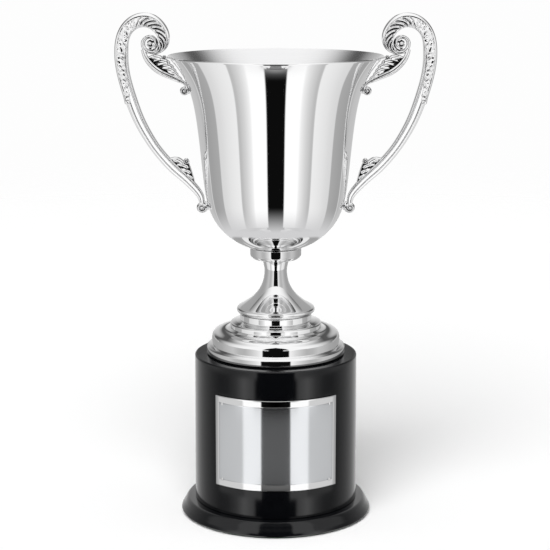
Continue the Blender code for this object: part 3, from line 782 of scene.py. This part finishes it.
def plate_leaf(name, outline, depth):
    """Thin backing of a palmette, with its outline rounded by a spline."""
    closed = spline(outline + outline[:1], 6)[:-1]
    levels = [(-depth, 0.55), (-depth * 0.6, 0.0), (depth * 0.6, 0.0), (depth, 0.55)]
    points = np.array(closed)
    middle = points.mean(0)
    rings = np.empty((len(levels), len(points), 3))
    for i, (y, inset) in enumerate(levels):
        shrink = points - middle
        shrink *= (1 - inset / np.linalg.norm(shrink, axis=1))[:, None]
        rings[i, :, 0] = middle[0] + shrink[:, 0]
        rings[i, :, 1] = y
        rings[i, :, 2] = middle[1] + shrink[:, 1]
    return loft(name, rings, CAST_SILVER, 60.0)


def screw_seat(scroll):
    """Point on the bowl's wall nearest an end scroll, and the way from the wall to the scroll."""
    x, z, _ = scroll
    radius, slope = wall_at(z)
    contact_z = z + slope * (x - radius)
    radius, slope = wall_at(contact_z)
    return Vector((radius, 0.0, contact_z)), Vector((1.0, 0.0, -slope)).normalized()


def boss(name, scroll):
    """Short round foot between an end scroll and the bowl, with a small collar at the wall."""
    place, out = screw_seat(scroll)
    length = (Vector((scroll[0], 0.0, scroll[1])) - place).dot(out)
    profile = [(0.0, length), (1.7, length), (1.9, 1.9), (2.2, 1.5), (3.0, 1.3), (3.1, 0.9),
               (3.0, 0.6), (0.0, 0.6)]
    return aim(turned(name, profile, CAST_SILVER, TINY_STEPS), place, out)


def bracket_relief(s, n):
    """Two grooves along the whole bracket, whatever the distance s along it."""
    return groove(n, 0.22, 0.10, 0.35) + groove(n, -0.92, 0.12, 0.6)


# Upper scroll: turn from the outer side, its outer radius there and the band's width.
VOLUTE_TURNS = [(200, 7.9, 0.8), (230, 7.6, 1.8), (270, 7.0, 2.3), (315, 6.4, 2.8),
                (360, 5.9, 2.9), (450, 5.0, 1.9), (540, 4.3, 1.5), (630, 3.1, 1.2),
                (720, 2.3, 0.9)]


def volute_path():
    """Band that grows out of the arm's tail, round the eye and into it."""
    turns = np.array(VOLUTE_TURNS)
    cx, cz = VOLUTE
    rows = []
    for angle in range(VOLUTE_TURNS[0][0], VOLUTE_TURNS[-1][0] + 1, 15):
        outer, width = (np.interp(angle, turns[:, 0], turns[:, k]) for k in (1, 2))
        middle, turn = outer - width / 2, math.radians(angle)
        depth = np.interp(angle, (200, 360, 720), (2.6, 3.7, 4.0))
        rows.append((cx + middle * math.cos(turn), cz + middle * math.sin(turn), width / 2, depth))
    return rows


def make_handles():
    """Scroll handle joined from its bars, leaves and beads, and its mirror image."""
    arm = sweep("right_scroll_handle", ARM, ARM_SECTION, arm_relief, step=0.22, count=60)
    cx, cz = VOLUTE
    pieces = [sweep("volute", volute_path(), step=0.35, count=14, per_span=3),
              bead("volute_core", cx, cz, 5.2, 3.1),
              bead("volute_eye", cx, cz, 1.5, 4.2),
              sweep("bracket", BRACKET, None, bracket_relief, step=0.4, count=30)]
    pieces += end_scroll("upper_end", UPPER_SCROLL, SCROLL_START, SCROLL_DEPTH)
    pieces += end_scroll("lower_end", LOWER_SCROLL, SCROLL_START, SCROLL_DEPTH)

    pieces += end_scroll("upper_curl", UPPER_CURL, 200, 2.6)
    pieces += petals("upper_petal",
                     [(82.6, 303.4), (80.6, 300.6), (77.8, 298.2), (74.6, 296.4), (70.8, 294.4),
                      (67.0, 292.2)],
                     [(73.4, 303.0), (68.7, 300.4), (66.3, 297.6), (64.6, 295.0), (63.2, 292.4),
                      (60.8, 289.4)],
                     [1.6, 1.5, 1.4, 1.35, 1.3, 1.1], PETAL_DEPTH)
    pieces.append(plate_leaf("upper_leaf",
                             [(83.4, 304.8), (78.0, 302.6), (73.2, 302.6), (69.0, 299.6),
                              (65.6, 295.4), (62.6, 291.2), (60.6, 287.8), (64.0, 288.4),
                              (70.0, 291.6), (77.0, 295.6), (82.0, 300.6)], LEAF_DEPTH))

    pieces += end_scroll("lower_curl", LOWER_CURL, 190, 2.8)
    pieces += petals("lower_petal",
                     [(68.8, 238.2), (66.0, 233.8), (62.6, 230.4), (59.4, 227.4)],
                     [(60.2, 235.2), (57.2, 232.6), (55.6, 229.0), (54.2, 225.2)],
                     [1.6, 1.4, 1.3, 1.1], PETAL_DEPTH)
    pieces.append(plate_leaf("lower_leaf",
                             [(69.4, 238.0), (63.0, 235.6), (58.0, 236.6), (55.8, 233.4),
                              (54.0, 227.6), (53.2, 221.6), (56.0, 222.0), (62.0, 228.2)],
                             LEAF_DEPTH))
    pieces += [boss("upper_boss", UPPER_SCROLL), boss("lower_boss", LOWER_SCROLL)]
    combine(arm, pieces)
    crease(arm, 50.0)
    show(arm, "right_handle")

    mirrored = arm.data.copy()
    mirrored.transform(Matrix.Scale(-1.0, 4, (1.0, 0.0, 0.0)))
    mirrored.flip_normals()
    other = bpy.data.objects.new("left_scroll_handle", mirrored)
    bpy.context.scene.collection.objects.link(other)
    show(other, "left_handle")


# ------------------------------------------------------- engraving plate and its pins
PLATE_THICK = 0.8
PLATE_HALF_ANGLE = math.radians(45.0)
BORDER_Z = 4.3                  # polished border along the top and the bottom
BORDER_X = 3.0                  # and up both sides
PLATE_EDGE = 0.35               # soft edge all round
PIN_ANGLE = math.radians(38.9)
PIN_INSET = 4.8
PIN_HOLE_R = 0.85
PIN_HEAD_R = 1.05


def edge_marks(length, border, spacing):
    """Distances along one side of the plate: close at its edges and groove, else spacing apart."""
    near = [0.0, 0.1, 0.22, PLATE_EDGE, PLATE_EDGE + 0.1]
    near += [border + shift for shift in (-0.65, -0.5, -0.35, -0.18, 0.0, 0.18, 0.35, 0.5)]
    middle = np.linspace(border + 0.65, length - border - 0.65,
                         int((length - 2 * border) / spacing))
    far = [length - mark for mark in near[::-1]]
    return np.array(near + list(middle) + far)


def make_plate():
    """Curved plate: a satin panel in a fine groove and a polished border around it."""
    width = 2 * PLATE_HALF_ANGLE * PLATE_R
    height = PLATE_Z1 - PLATE_Z0
    across, up = edge_marks(width, BORDER_X, 0.9), edge_marks(height, BORDER_Z, 3.0)
    from_side = np.minimum(across, width - across)[:, None]
    from_end = np.minimum(up, height - up)[None, :]
    edge = np.clip(1.0 - np.minimum(from_side, from_end) / PLATE_EDGE, 0.0, 1.0)
    line = np.maximum(BORDER_X - from_side, BORDER_Z - from_end)
    outer = PLATE_R - 0.22 * edge ** 2 - 0.12 * np.exp(-(line / 0.16) ** 2)
    inner = np.full_like(outer, PLATE_R - PLATE_THICK)

    angle = (across / PLATE_R - PLATE_HALF_ANGLE)[:, None]
    grids = [np.stack([r * np.sin(angle), -r * np.cos(angle), 0 * r + up + PLATE_Z0], axis=2)
             for r in (outer, inner)]
    columns, rows = outer.shape
    face_size = columns * rows
    vertices = np.vstack([grid.reshape(-1, 3) for grid in grids])
    faces = []
    for side in (0, face_size):
        for i in range(columns - 1):
            for j in range(rows - 1):
                k = side + i * rows + j
                faces.append((k, k + 1, k + rows + 1, k + rows))
    loop = [i * rows for i in range(columns)]
    loop += [(columns - 1) * rows + j for j in range(1, rows)]
    loop += [i * rows + rows - 1 for i in range(columns - 2, -1, -1)]
    loop += list(range(rows - 2, 0, -1))
    for a, b in zip(loop, loop[1:] + loop[:1]):
        faces.append((a, b, b + face_size, a + face_size))
    plate = make_object("engraving_plate", vertices, faces, PLATE_SATIN)
    holes = []
    for place, out in pin_seats():
        outline = [(0.0, 2.0), (PIN_HOLE_R, 2.0), (PIN_HOLE_R, -3.0), (0.0, -3.0)]
        holes.append(aim(turned("pin_hole", outline, None, PIN_HOLE_STEPS), place, out))
    combine(plate, holes, "DIFFERENCE")
    crease(plate, 35.0)
    plate.data.materials.append(PLATE_POLISH)
    panel_x = (width / 2 - BORDER_X) / PLATE_R
    panel_z = height / 2 - BORDER_Z
    middle_z = (PLATE_Z0 + PLATE_Z1) / 2
    for face in plate.data.polygons:
        x, y, z = face.center / MM
        in_panel = abs(math.atan2(x, -y)) < panel_x and abs(z - middle_z) < panel_z
        face.material_index = 0 if in_panel else 1
    show(plate, "presentation_plate")


def pin_seats():
    """Point on the plate under each pin's head, and the direction out of the drum."""
    for z in (PLATE_Z1 - PIN_INSET, PLATE_Z0 + PIN_INSET):
        for angle in (-PIN_ANGLE, PIN_ANGLE):
            out = Vector((math.sin(angle), -math.cos(angle), 0.0))
            yield out * PLATE_R + Vector((0.0, 0.0, z)), out


def make_pins():
    """Domed escutcheon pins, each on its shank through the plate into the drum."""
    dome = [(0.0, 0.78), (0.30, 0.76), (0.58, 0.66), (0.82, 0.48), (0.98, 0.26),
            (PIN_HEAD_R, 0.08), (PIN_HEAD_R - 0.06, 0.03), (0.5, 0.03), (0.5, -4.2), (0.0, -5.0)]
    for number, (place, out) in enumerate(pin_seats(), 1):
        pin = aim(turned(f"domed_pin_{number}", dome, SILVER, TINY_STEPS), place, out)
        show(pin, f"plate_pin_{number}")


# -------------------------------------------------------------- screws and washers
def cross_recess(reach, width, top, bottom):
    """Cutter for the cross in a screw's head, narrowing from top to bottom."""
    corner = [(reach, -width), (reach, width), (width, width)]
    cross = []
    for k in range(4):
        turn = Matrix.Rotation(k * math.pi / 2, 2)
        cross += [tuple(turn @ Vector(point)) for point in corner]
    rings = [[(x * scale, y * scale, z) for x, y in cross]
             for scale, z in ((1.0, top), (0.5, bottom))]
    return loft("recess", np.array(rings), None)


def crossed_screw(name, outline, steps, recess):
    """Turned screw with a cross cut into its head."""
    screw = turned(name, outline, STEEL, steps)
    combine(screw, [cross_recess(*recess)], "DIFFERENCE")
    crease(screw, 30.0)
    return screw


def pan_screw(name):
    """Handle screw with +Z into the casting and its crossed head in the bowl."""
    outline = [(0.0, 4.0), (1.2, 4.0), (1.5, 3.7), (1.5, -2.7), (2.7, -2.7), (2.7, -3.25),
               (2.62, -3.6), (2.35, -3.95), (1.8, -4.2), (1.0, -4.3), (0.0, -4.3)]
    return crossed_screw(name, outline, SCREW_STEPS, (1.5, 0.32, -4.5, -3.2))


def make_handle_screws():
    """A washer and a screw inside the bowl behind each end scroll, on both sides."""
    seats = itertools.product((-1, 1), (UPPER_SCROLL, LOWER_SCROLL))
    for number, (side, scroll) in enumerate(seats, 1):
        place, out = screw_seat(scroll)
        place.x *= side
        out.x *= side
        washer = flat_ring(f"washer_in_bowl_{number}", (1.9, 3.2), (-2.4, -1.8), 0.12, STEEL,
                           WASHER_STEPS)
        show(aim(washer, place, out), f"handle_washer_{number}")
        screw = aim(pan_screw(f"screw_in_bowl_{number}"), place, out)
        show(screw, f"handle_screw_{number}")


BASE_SCREW_CIRCLE_R = 49.6


def make_base_screws():
    """Countersunk screws that hold the skirt to the drum, above the felt."""
    z = BASE_Z0
    outline = [(0.0, 21.0), (1.6, 19.0), (1.6, z + 2.2), (3.4, z + 0.35), (3.4, z), (0.0, z)]
    for number in range(1, 5):
        turn = math.radians(90 * number - 45)
        screw = crossed_screw(f"skirt_screw_{number}", outline, TINY_STEPS,
                              (2.0, 0.4, z - 0.3, z + 1.5))
        place = Vector((math.cos(turn), math.sin(turn), 0.0)) * BASE_SCREW_CIRCLE_R
        show(aim(screw, place, Vector((0.0, 0.0, 1.0))), f"base_screw_{number}")


# ------------------------------------------------------------ tie rod and its nuts
CLAMP_PLATE_R = 20.5
NUT_FLATS = 10.0
NUT_HEIGHT = 5.0
NUT_BORE_R = 2.95
THREAD_R = 2.85
THREAD_DEPTH = 0.42
THREAD_PITCH = 1.0


def thread_rows(z0, z1):
    """Rings of a helical thread with chamfered ends."""
    angles = np.arange(TINY_STEPS) * 2 * math.pi / TINY_STEPS
    rows = []
    for z in np.arange(z0, z1 + 0.01, THREAD_PITCH / 8):
        phase = (z / THREAD_PITCH - angles / (2 * math.pi)) % 1.0
        depth = THREAD_DEPTH * np.clip(1.25 * (1.0 - np.abs(2 * phase - 1.0)) - 0.12, 0.0, 1.0)
        end = 0.7 * max(0.0, 1.0 - min(z - z0, z1 - z) / 0.8)
        radius = THREAD_R - np.maximum(depth, end)
        rows.append(np.column_stack([radius * np.cos(angles), radius * np.sin(angles),
                                     0 * angles + z]))
    return rows


def make_rod():
    """Tie rod, threaded where nuts run on it and plain between."""
    rows = thread_rows(ROD_Z0, 104.0) + thread_rows(124.0, 134.0) + thread_rows(176.0, ROD_Z1)
    show(loft("threaded_rod", np.array(rows), STEEL, 55.0), "tie_rod")


def hex_nut(name, z0, mat):
    """Chamfered hexagon nut without its bore."""
    z1 = z0 + NUT_HEIGHT
    corner = NUT_FLATS / 2 / math.cos(math.pi / 6)
    face_r = NUT_FLATS / 2 * 0.97
    nut = turned(name, [(0.0, z1), (corner, z1), (corner, z0), (0.0, z0)], mat, 6)
    bevel = turned("bevel", [(0.0, z1), (face_r, z1), (corner + 0.1, z1 - 0.6),
                             (corner + 0.1, z0 + 0.6), (face_r, z0), (0.0, z0)],
                   None, SMALL_STEPS)
    return combine(nut, [bevel], "INTERSECT")


def bore(obj, z0, z1):
    """Cut the thread's clearance hole through a nut."""
    hole = turned("bore", [(0.0, z1), (NUT_BORE_R, z1), (NUT_BORE_R, z0), (0.0, z0)], None,
                  WASHER_STEPS)
    combine(obj, [hole], "DIFFERENCE")
    crease(obj, 30.0)
    return obj


def make_stack():
    """What clamps the cup: a dished washer and acorn nut above, a plate and nut in the foot."""
    z = BOWL_Z0 + BOWL_WALL + STACK_GAP
    outline = [(ROD_HOLE_R, z), (11.0, z, 0.1), (10.9, z + 0.5, 0.2), (6.4, z + 1.8, 0.5),
               (ROD_HOLE_R, z + 1.8)]
    show(turned("dished_washer", rounded(outline, 15.0), STEEL, SMALL_STEPS),
         "bowl_washer")

    z += 1.8 + STACK_GAP
    nut = hex_nut("acorn_nut", z, BRASS)
    top = z + NUT_HEIGHT
    dome_r = 4.55
    dome = [(0.0, top + 4.2)] + [(dome_r * math.sin(a), top - 0.3 + 4.5 * math.cos(a))
                                 for a in np.radians(np.arange(10, 91, 8))]
    dome += [(dome_r, top - 0.6), (0.0, top - 0.6)]
    combine(nut, [turned("dome", dome, None, SMALL_STEPS)])
    show(bore(nut, z - 1.0, ROD_Z1 + STACK_GAP), "bowl_nut")

    _, *heights = node_size("foot_plate")
    plate = flat_ring("clamp_plate", (ROD_HOLE_R, CLAMP_PLATE_R), heights, 0.3, STEEL, SMALL_STEPS)
    show(plate, "foot_plate")
    _, z, _ = node_size("foot_nut")
    nut = bore(hex_nut("clamp_nut", z, STEEL), z - 1.0, z + NUT_HEIGHT + 1.0)
    show(nut, "foot_nut")


def make_release():
    """Washer and brass wing nut under the plinth's top."""
    _, *heights = node_size("plinth_washer")
    washer = flat_ring("release_washer", (3.0, 9.0), heights, 0.3, STEEL, SMALL_STEPS)
    show(washer, "plinth_washer", "plinth_washer")

    _, _, top = node_size("wing_nut")
    hub = [(0.0, top), (5.2, top), (5.2, top - 0.8), (4.9, top - 1.6), (4.7, top - 5.6),
           (4.2, top - 6.5), (0.0, top - 6.5)]
    nut = turned("release_wing_nut", hub, BRASS, SMALL_STEPS)
    round_end = arc((11.0, -6.8), 2.6, np.arange(-110, 61, 17))
    ear = spline([(3.6, -1.2), (3.8, -3.4), (4.4, -5.2), (6.2, -6.4), (8.4, -7.6)] + round_end
                 + [(10.6, -3.2), (8.0, -2.2), (5.4, -1.6), (3.6, -1.2)], 3)[:-1]
    ear = np.array(ear)
    middle = ear.mean(0)
    wings = []
    for side in (-1, 1):
        rings = []
        for y, shrink in ((-1.0, 0.90), (-0.85, 0.97), (-0.5, 1.0), (0.5, 1.0), (0.85, 0.97),
                          (1.0, 0.90)):
            shape = middle + (ear - middle) * shrink
            rings.append(np.column_stack([side * shape[:, 0], 0 * shape[:, 0] + y,
                                          shape[:, 1] + top]))
        wings.append(loft("wing", np.array(rings), None))
    combine(nut, wings)
    show(bore(nut, top - 8.0, top + 1.0), "wing_nut", "wing_nut")


# ------------------------------------------------------------- studio and camera
FLOOR_R = 3.5
FLOOR_Z = -0.0001
WHITE_ROOM = 0.985              # what the camera sees behind the trophy
FILL_LIGHT = 0.31               # what matt surfaces get from all round


def band_level(graph, angle, stops):
    """Brightness at an angle in degrees from the front, through (angle, level) stops."""
    return graph.ramp(graph.math("DIVIDE", angle, 180.0),
                      [(stop / 180.0, level) for stop, level in stops])


def make_room():
    """White room: reflections see soft boxes with a dark gap between them over the camera."""
    world = bpy.data.worlds.new("studio")
    bpy.context.scene.world = world
    world.use_nodes = True
    graph = Graph(world.node_tree)
    x, y, z = graph.split(graph.add("TexCoord").outputs["Generated"])
    rise = graph.math("DEGREES", graph.math("ARCSINE", z))

    # Upright bands, bent so that a flaring wall shows them following its own outline.
    fan = graph.math("ARCTAN2", x, graph.math("SUBTRACT", 1.0, y))
    fan = graph.math("MULTIPLY", graph.math("ABSOLUTE", graph.math("DEGREES", fan)), 2.0)
    boxes = [(0.0, 0.004), (12.3, 0.004), (13.6, 1.08), (33.5, 1.08), (36.0, 0.92), (40.0, 0.81),
             (45.0, 0.69), (50.0, 0.60), (53.0, 0.53), (55.3, 0.53), (56.8, 0.90), (65.0, 0.87),
             (75.0, 0.82), (85.0, 0.75), (93.0, 0.72), (94.5, 0.42), (115.0, 0.37), (122.5, 0.37),
             (123.3, 0.66), (125.3, 0.66), (126.2, 0.48), (135.0, 0.55), (160.0, 0.57),
             (170.0, 0.74), (180.0, 0.86)]
    level = band_level(graph, fan, boxes)

    # Above the horizon the boxes are broader and the gap between them closes.
    close = graph.span(rise, 4.0, 34.0, 0.0, 30.0)
    high_boxes = [(0.0, 0.004), (22.0, 0.004), (24.0, 1.0), (56.0, 1.0), (80.0, 0.84),
                  (100.0, 0.56), (118.0, 0.24), (130.0, 0.09), (142.0, 0.10), (156.0, 0.50),
                  (180.0, 0.85)]
    high_level = band_level(graph, graph.math("ADD", fan, close), high_boxes)
    level = graph.mix(graph.span(rise, -4.0, 2.0), level, high_level)

    # Straight down the table is in shadow; a soft box is the ceiling.
    low = graph.span(rise, -90.0, -79.0, 1.0, 0.0)
    level = graph.mix(low, level, 0.27)
    top = graph.span(rise, 40.0, 78.0)
    level = graph.mix(top, level, 1.02)

    rays = graph.add("LightPath")
    level = graph.mix(rays.outputs["Is Glossy Ray"], FILL_LIGHT, level)
    level = graph.mix(rays.outputs["Is Camera Ray"], level, WHITE_ROOM)
    shine = world.node_tree.nodes["Background"]
    graph.feed(shine.inputs["Color"], level)


def fading(mat, surface, shown):
    """Let a surface through where shown is 0, and wherever it is seen from behind."""
    tree = mat.node_tree
    graph = Graph(tree)
    behind = graph.add("NewGeometry").outputs["Backfacing"]
    front = graph.math("SUBTRACT", 1.0, behind)
    blend = graph.add("MixShader")
    graph.feed(blend.inputs[0], graph.math("MULTIPLY", shown, front))
    tree.links.new(graph.add("BsdfTransparent").outputs[0], blend.inputs[1])
    tree.links.new(surface.outputs[0], blend.inputs[2])
    tree.links.new(blend.outputs[0], tree.nodes["Material Output"].inputs["Surface"])


def bare_material(name):
    """Node material without a shader yet, with its graph and its object coordinates."""
    mat = bpy.data.materials.new(name)
    mat.use_nodes = True
    mat.node_tree.nodes.remove(mat.node_tree.nodes["Principled BSDF"])
    graph = Graph(mat.node_tree)
    return mat, graph, graph.add("TexCoord").outputs["Object"]


def disc(name, radius, z):
    """Stage disc on the axis, with its material and its graph, and the distance from the axis."""
    mat, graph, place = bare_material(name)
    x, y, _ = graph.split(place)
    away = graph.distance(x, y)
    bpy.ops.mesh.primitive_circle_add(vertices=96, radius=radius, fill_type="NGON",
                                      location=(0.0, 0.0, z))
    obj = bpy.context.active_object
    obj.name = name
    obj.data.materials.append(mat)
    return obj, mat, graph, away


def make_floor():
    """White table that fades out into the room and only shows from above."""
    floor, mat, graph, away = disc("white_table", FLOOR_R, FLOOR_Z)
    paper = graph.add("BsdfDiffuse")
    place = graph.add("TexCoord").outputs["Object"]
    graph.feed(paper.inputs["Color"], graph.tint(graph.noise(place, 3.0), (0.97, 0.97, 0.97),
                                                 (0.975, 0.975, 0.975)))
    fading(mat, paper, graph.span(away, 0.6, 1.8, 1.0, 0.0))
    floor.visible_glossy = False


GLOW_DISC_R = 105.0
GLOW_DISC_FULL_R = 42.0
GLOW_DISC_HOLE_R = 32.0
GLOW_DISC_HOLE_EDGE = 4.0
# Brightness of the glow painted into the bowl's reflection
GLOW_DISC_LEVEL = 0.67


def make_glow_disc():
    """Glowing disc round the collar, a painted reflection for the bowl's underside and rim to mirror.
    """
    glow_disc, mat, graph, away = disc("mirror_glow_disc", GLOW_DISC_R * MM, (COLLAR_Z1 - 1.0) * MM)
    # Painted reflection: the disc glows but lights nothing, and only mirrored rays meet it
    glow = graph.add("Emission")
    glow.inputs["Color"].default_value = (GLOW_DISC_LEVEL, GLOW_DISC_LEVEL, GLOW_DISC_LEVEL * 1.01, 1.0)
    reach = graph.span(away, GLOW_DISC_FULL_R * MM, GLOW_DISC_R * MM, 1.0, 0.0, "LINEAR")
    outside = graph.span(away, GLOW_DISC_HOLE_R * MM, (GLOW_DISC_HOLE_R + GLOW_DISC_HOLE_EDGE) * MM)
    fading(mat, glow, graph.math("MULTIPLY", graph.math("MULTIPLY", reach, reach), outside))
    only_mirrored(glow_disc)


def only_mirrored(obj):
    """Hide a stage piece from everything but mirrored rays."""
    obj.visible_camera = False
    obj.visible_diffuse = False
    obj.visible_shadow = False
    obj.visible_transmission = False


SCREEN_R = 80.0
SCREEN_Z0 = -20.0
SCREEN_Z1 = 117.0
COLLAR_SCREEN_R = 42.0
SCREEN_STEPS = 96
PANEL_ZONE = (18.0, 24.0, 72.0, 76.0)   # heights where the plate's panel light fades in and out
PANEL_LEVEL = 0.125
PLATE_ZONE = (12.0, 15.0, 81.0, 84.0)   # the same for the whole plate's boxes
FOOT_ZONE = (96.0, 100.0)               # above this the foot's boxes take over


def within(graph, z, zone):
    """1 between the two middle heights of a zone, fading to 0 at its outer ones."""
    start, full, still_full, end = (height * MM for height in zone)
    return graph.math("MULTIPLY", graph.span(z, start, full), graph.span(z, end, still_full))


def cylinder_wall(name, radius, z0, z1, mat):
    """Open stage cylinder that faces inwards."""
    angles = np.arange(SCREEN_STEPS) * 2 * math.pi / SCREEN_STEPS
    points = [(radius * math.cos(a), radius * math.sin(a), z) for z in (z0, z1) for a in angles]
    faces = [face[::-1] for face in skin(0, 1, SCREEN_STEPS)]
    mesh = bpy.data.meshes.new(name)
    mesh.from_pydata((np.array(points) * MM).tolist(), [], faces)
    mesh.materials.append(mat)
    screen = bpy.data.objects.new(name, mesh)
    bpy.context.scene.collection.objects.link(screen)
    only_mirrored(screen)


def make_screens():
    """Cylinders of light round the plinth and the collar, which only mirrored rays meet."""
    mat, graph, place = bare_material("light_boxes")
    x, y, z = graph.split(place)
    turn = graph.math("ARCTAN2", x, graph.math("MULTIPLY", y, -1.0))
    turn = graph.math("ABSOLUTE", graph.math("DEGREES", turn))
    back = [(70.0, 0.34), (86.0, 0.52), (113.0, 0.86), (180.0, 0.90)]
    drum = band_level(graph, turn, [(0.0, 0.0), (18.0, 0.0), (21.0, 0.95), (30.0, 1.5),
                                    (39.0, 0.6), (48.0, 0.26), (58.0, 0.20)] + back)
    plate = band_level(graph, turn, [(0.0, 0.0), (12.6, 0.004), (13.4, 1.06), (29.0, 1.06),
                                     (31.0, 0.66), (56.0, 0.62), (62.0, 0.24)] + back)
    foot = band_level(graph, turn, [(0.0, 0.004), (16.8, 0.004), (18.0, 0.95), (25.4, 0.76),
                                    (33.6, 0.60), (42.0, 0.47), (51.4, 0.48), (61.7, 0.57),
                                    (73.7, 0.50), (87.0, 0.40), (105.0, 0.36), (180.0, 0.45)])
    panel = graph.math("MULTIPLY", within(graph, z, PANEL_ZONE), PANEL_LEVEL)
    plate = graph.math("MAXIMUM", plate, panel)
    level = graph.mix(within(graph, z, PLATE_ZONE), drum, plate)
    level = graph.mix(graph.span(z, FOOT_ZONE[0] * MM, FOOT_ZONE[1] * MM), level, foot)
    glow = graph.add("Emission")
    graph.feed(glow.inputs["Color"], level)
    fading(mat, glow, 1.0)
    cylinder_wall("plinth_screen", SCREEN_R, SCREEN_Z0, SCREEN_Z1, mat)
    cylinder_wall("collar_screen", COLLAR_SCREEN_R, STEM_Z1 - 20.0, COLLAR_Z1 - 1.2, mat)


SUN_STRENGTH = 3.1
SUN_SPREAD = 48.0               # degrees
SUN_HEADING = (0.20, 1.0, -1.15)


def make_lights():
    """One broad soft light from the front, a little to the left."""
    data = bpy.data.lights.new("key", "SUN")
    data.energy = SUN_STRENGTH
    data.angle = math.radians(SUN_SPREAD)
    light = bpy.data.objects.new("key", data)
    bpy.context.scene.collection.objects.link(light)
    light.rotation_euler = Vector(SUN_HEADING).to_track_quat("-Z", "Y").to_euler()
    light.visible_glossy = False
    light.visible_camera = False


CAMERA_PLACE = (-0.0005, -1.107, 0.3839)    # metres
CAMERA_PITCH = 11.4                         # degrees below level
FOCAL_LENGTH = 111.8
SENSOR = 36.0


def make_camera():
    """Camera fitted to the ellipses of the rim, the plinth's top and the base in the photo."""
    data = bpy.data.cameras.new("photo_camera")
    data.lens = FOCAL_LENGTH
    data.sensor_width = SENSOR
    data.clip_start = 0.01
    camera = bpy.data.objects.new("photo_camera", data)
    bpy.context.scene.collection.objects.link(camera)
    camera.location = CAMERA_PLACE
    camera.rotation_euler = (math.radians(90.0 - CAMERA_PITCH), 0.0, 0.0)
    bpy.context.scene.camera = camera


for make in (make_bowl, make_collar, make_stem, make_foot, make_gasket, make_drum, make_skirt,
             make_felt, make_handles, make_plate, make_pins, make_handle_screws,
             make_base_screws, make_rod, make_stack, make_release, make_room, make_floor,
             make_glow_disc, make_screens, make_lights, make_camera):
    make()
bpy.context.scene.view_settings.view_transform = "Standard"
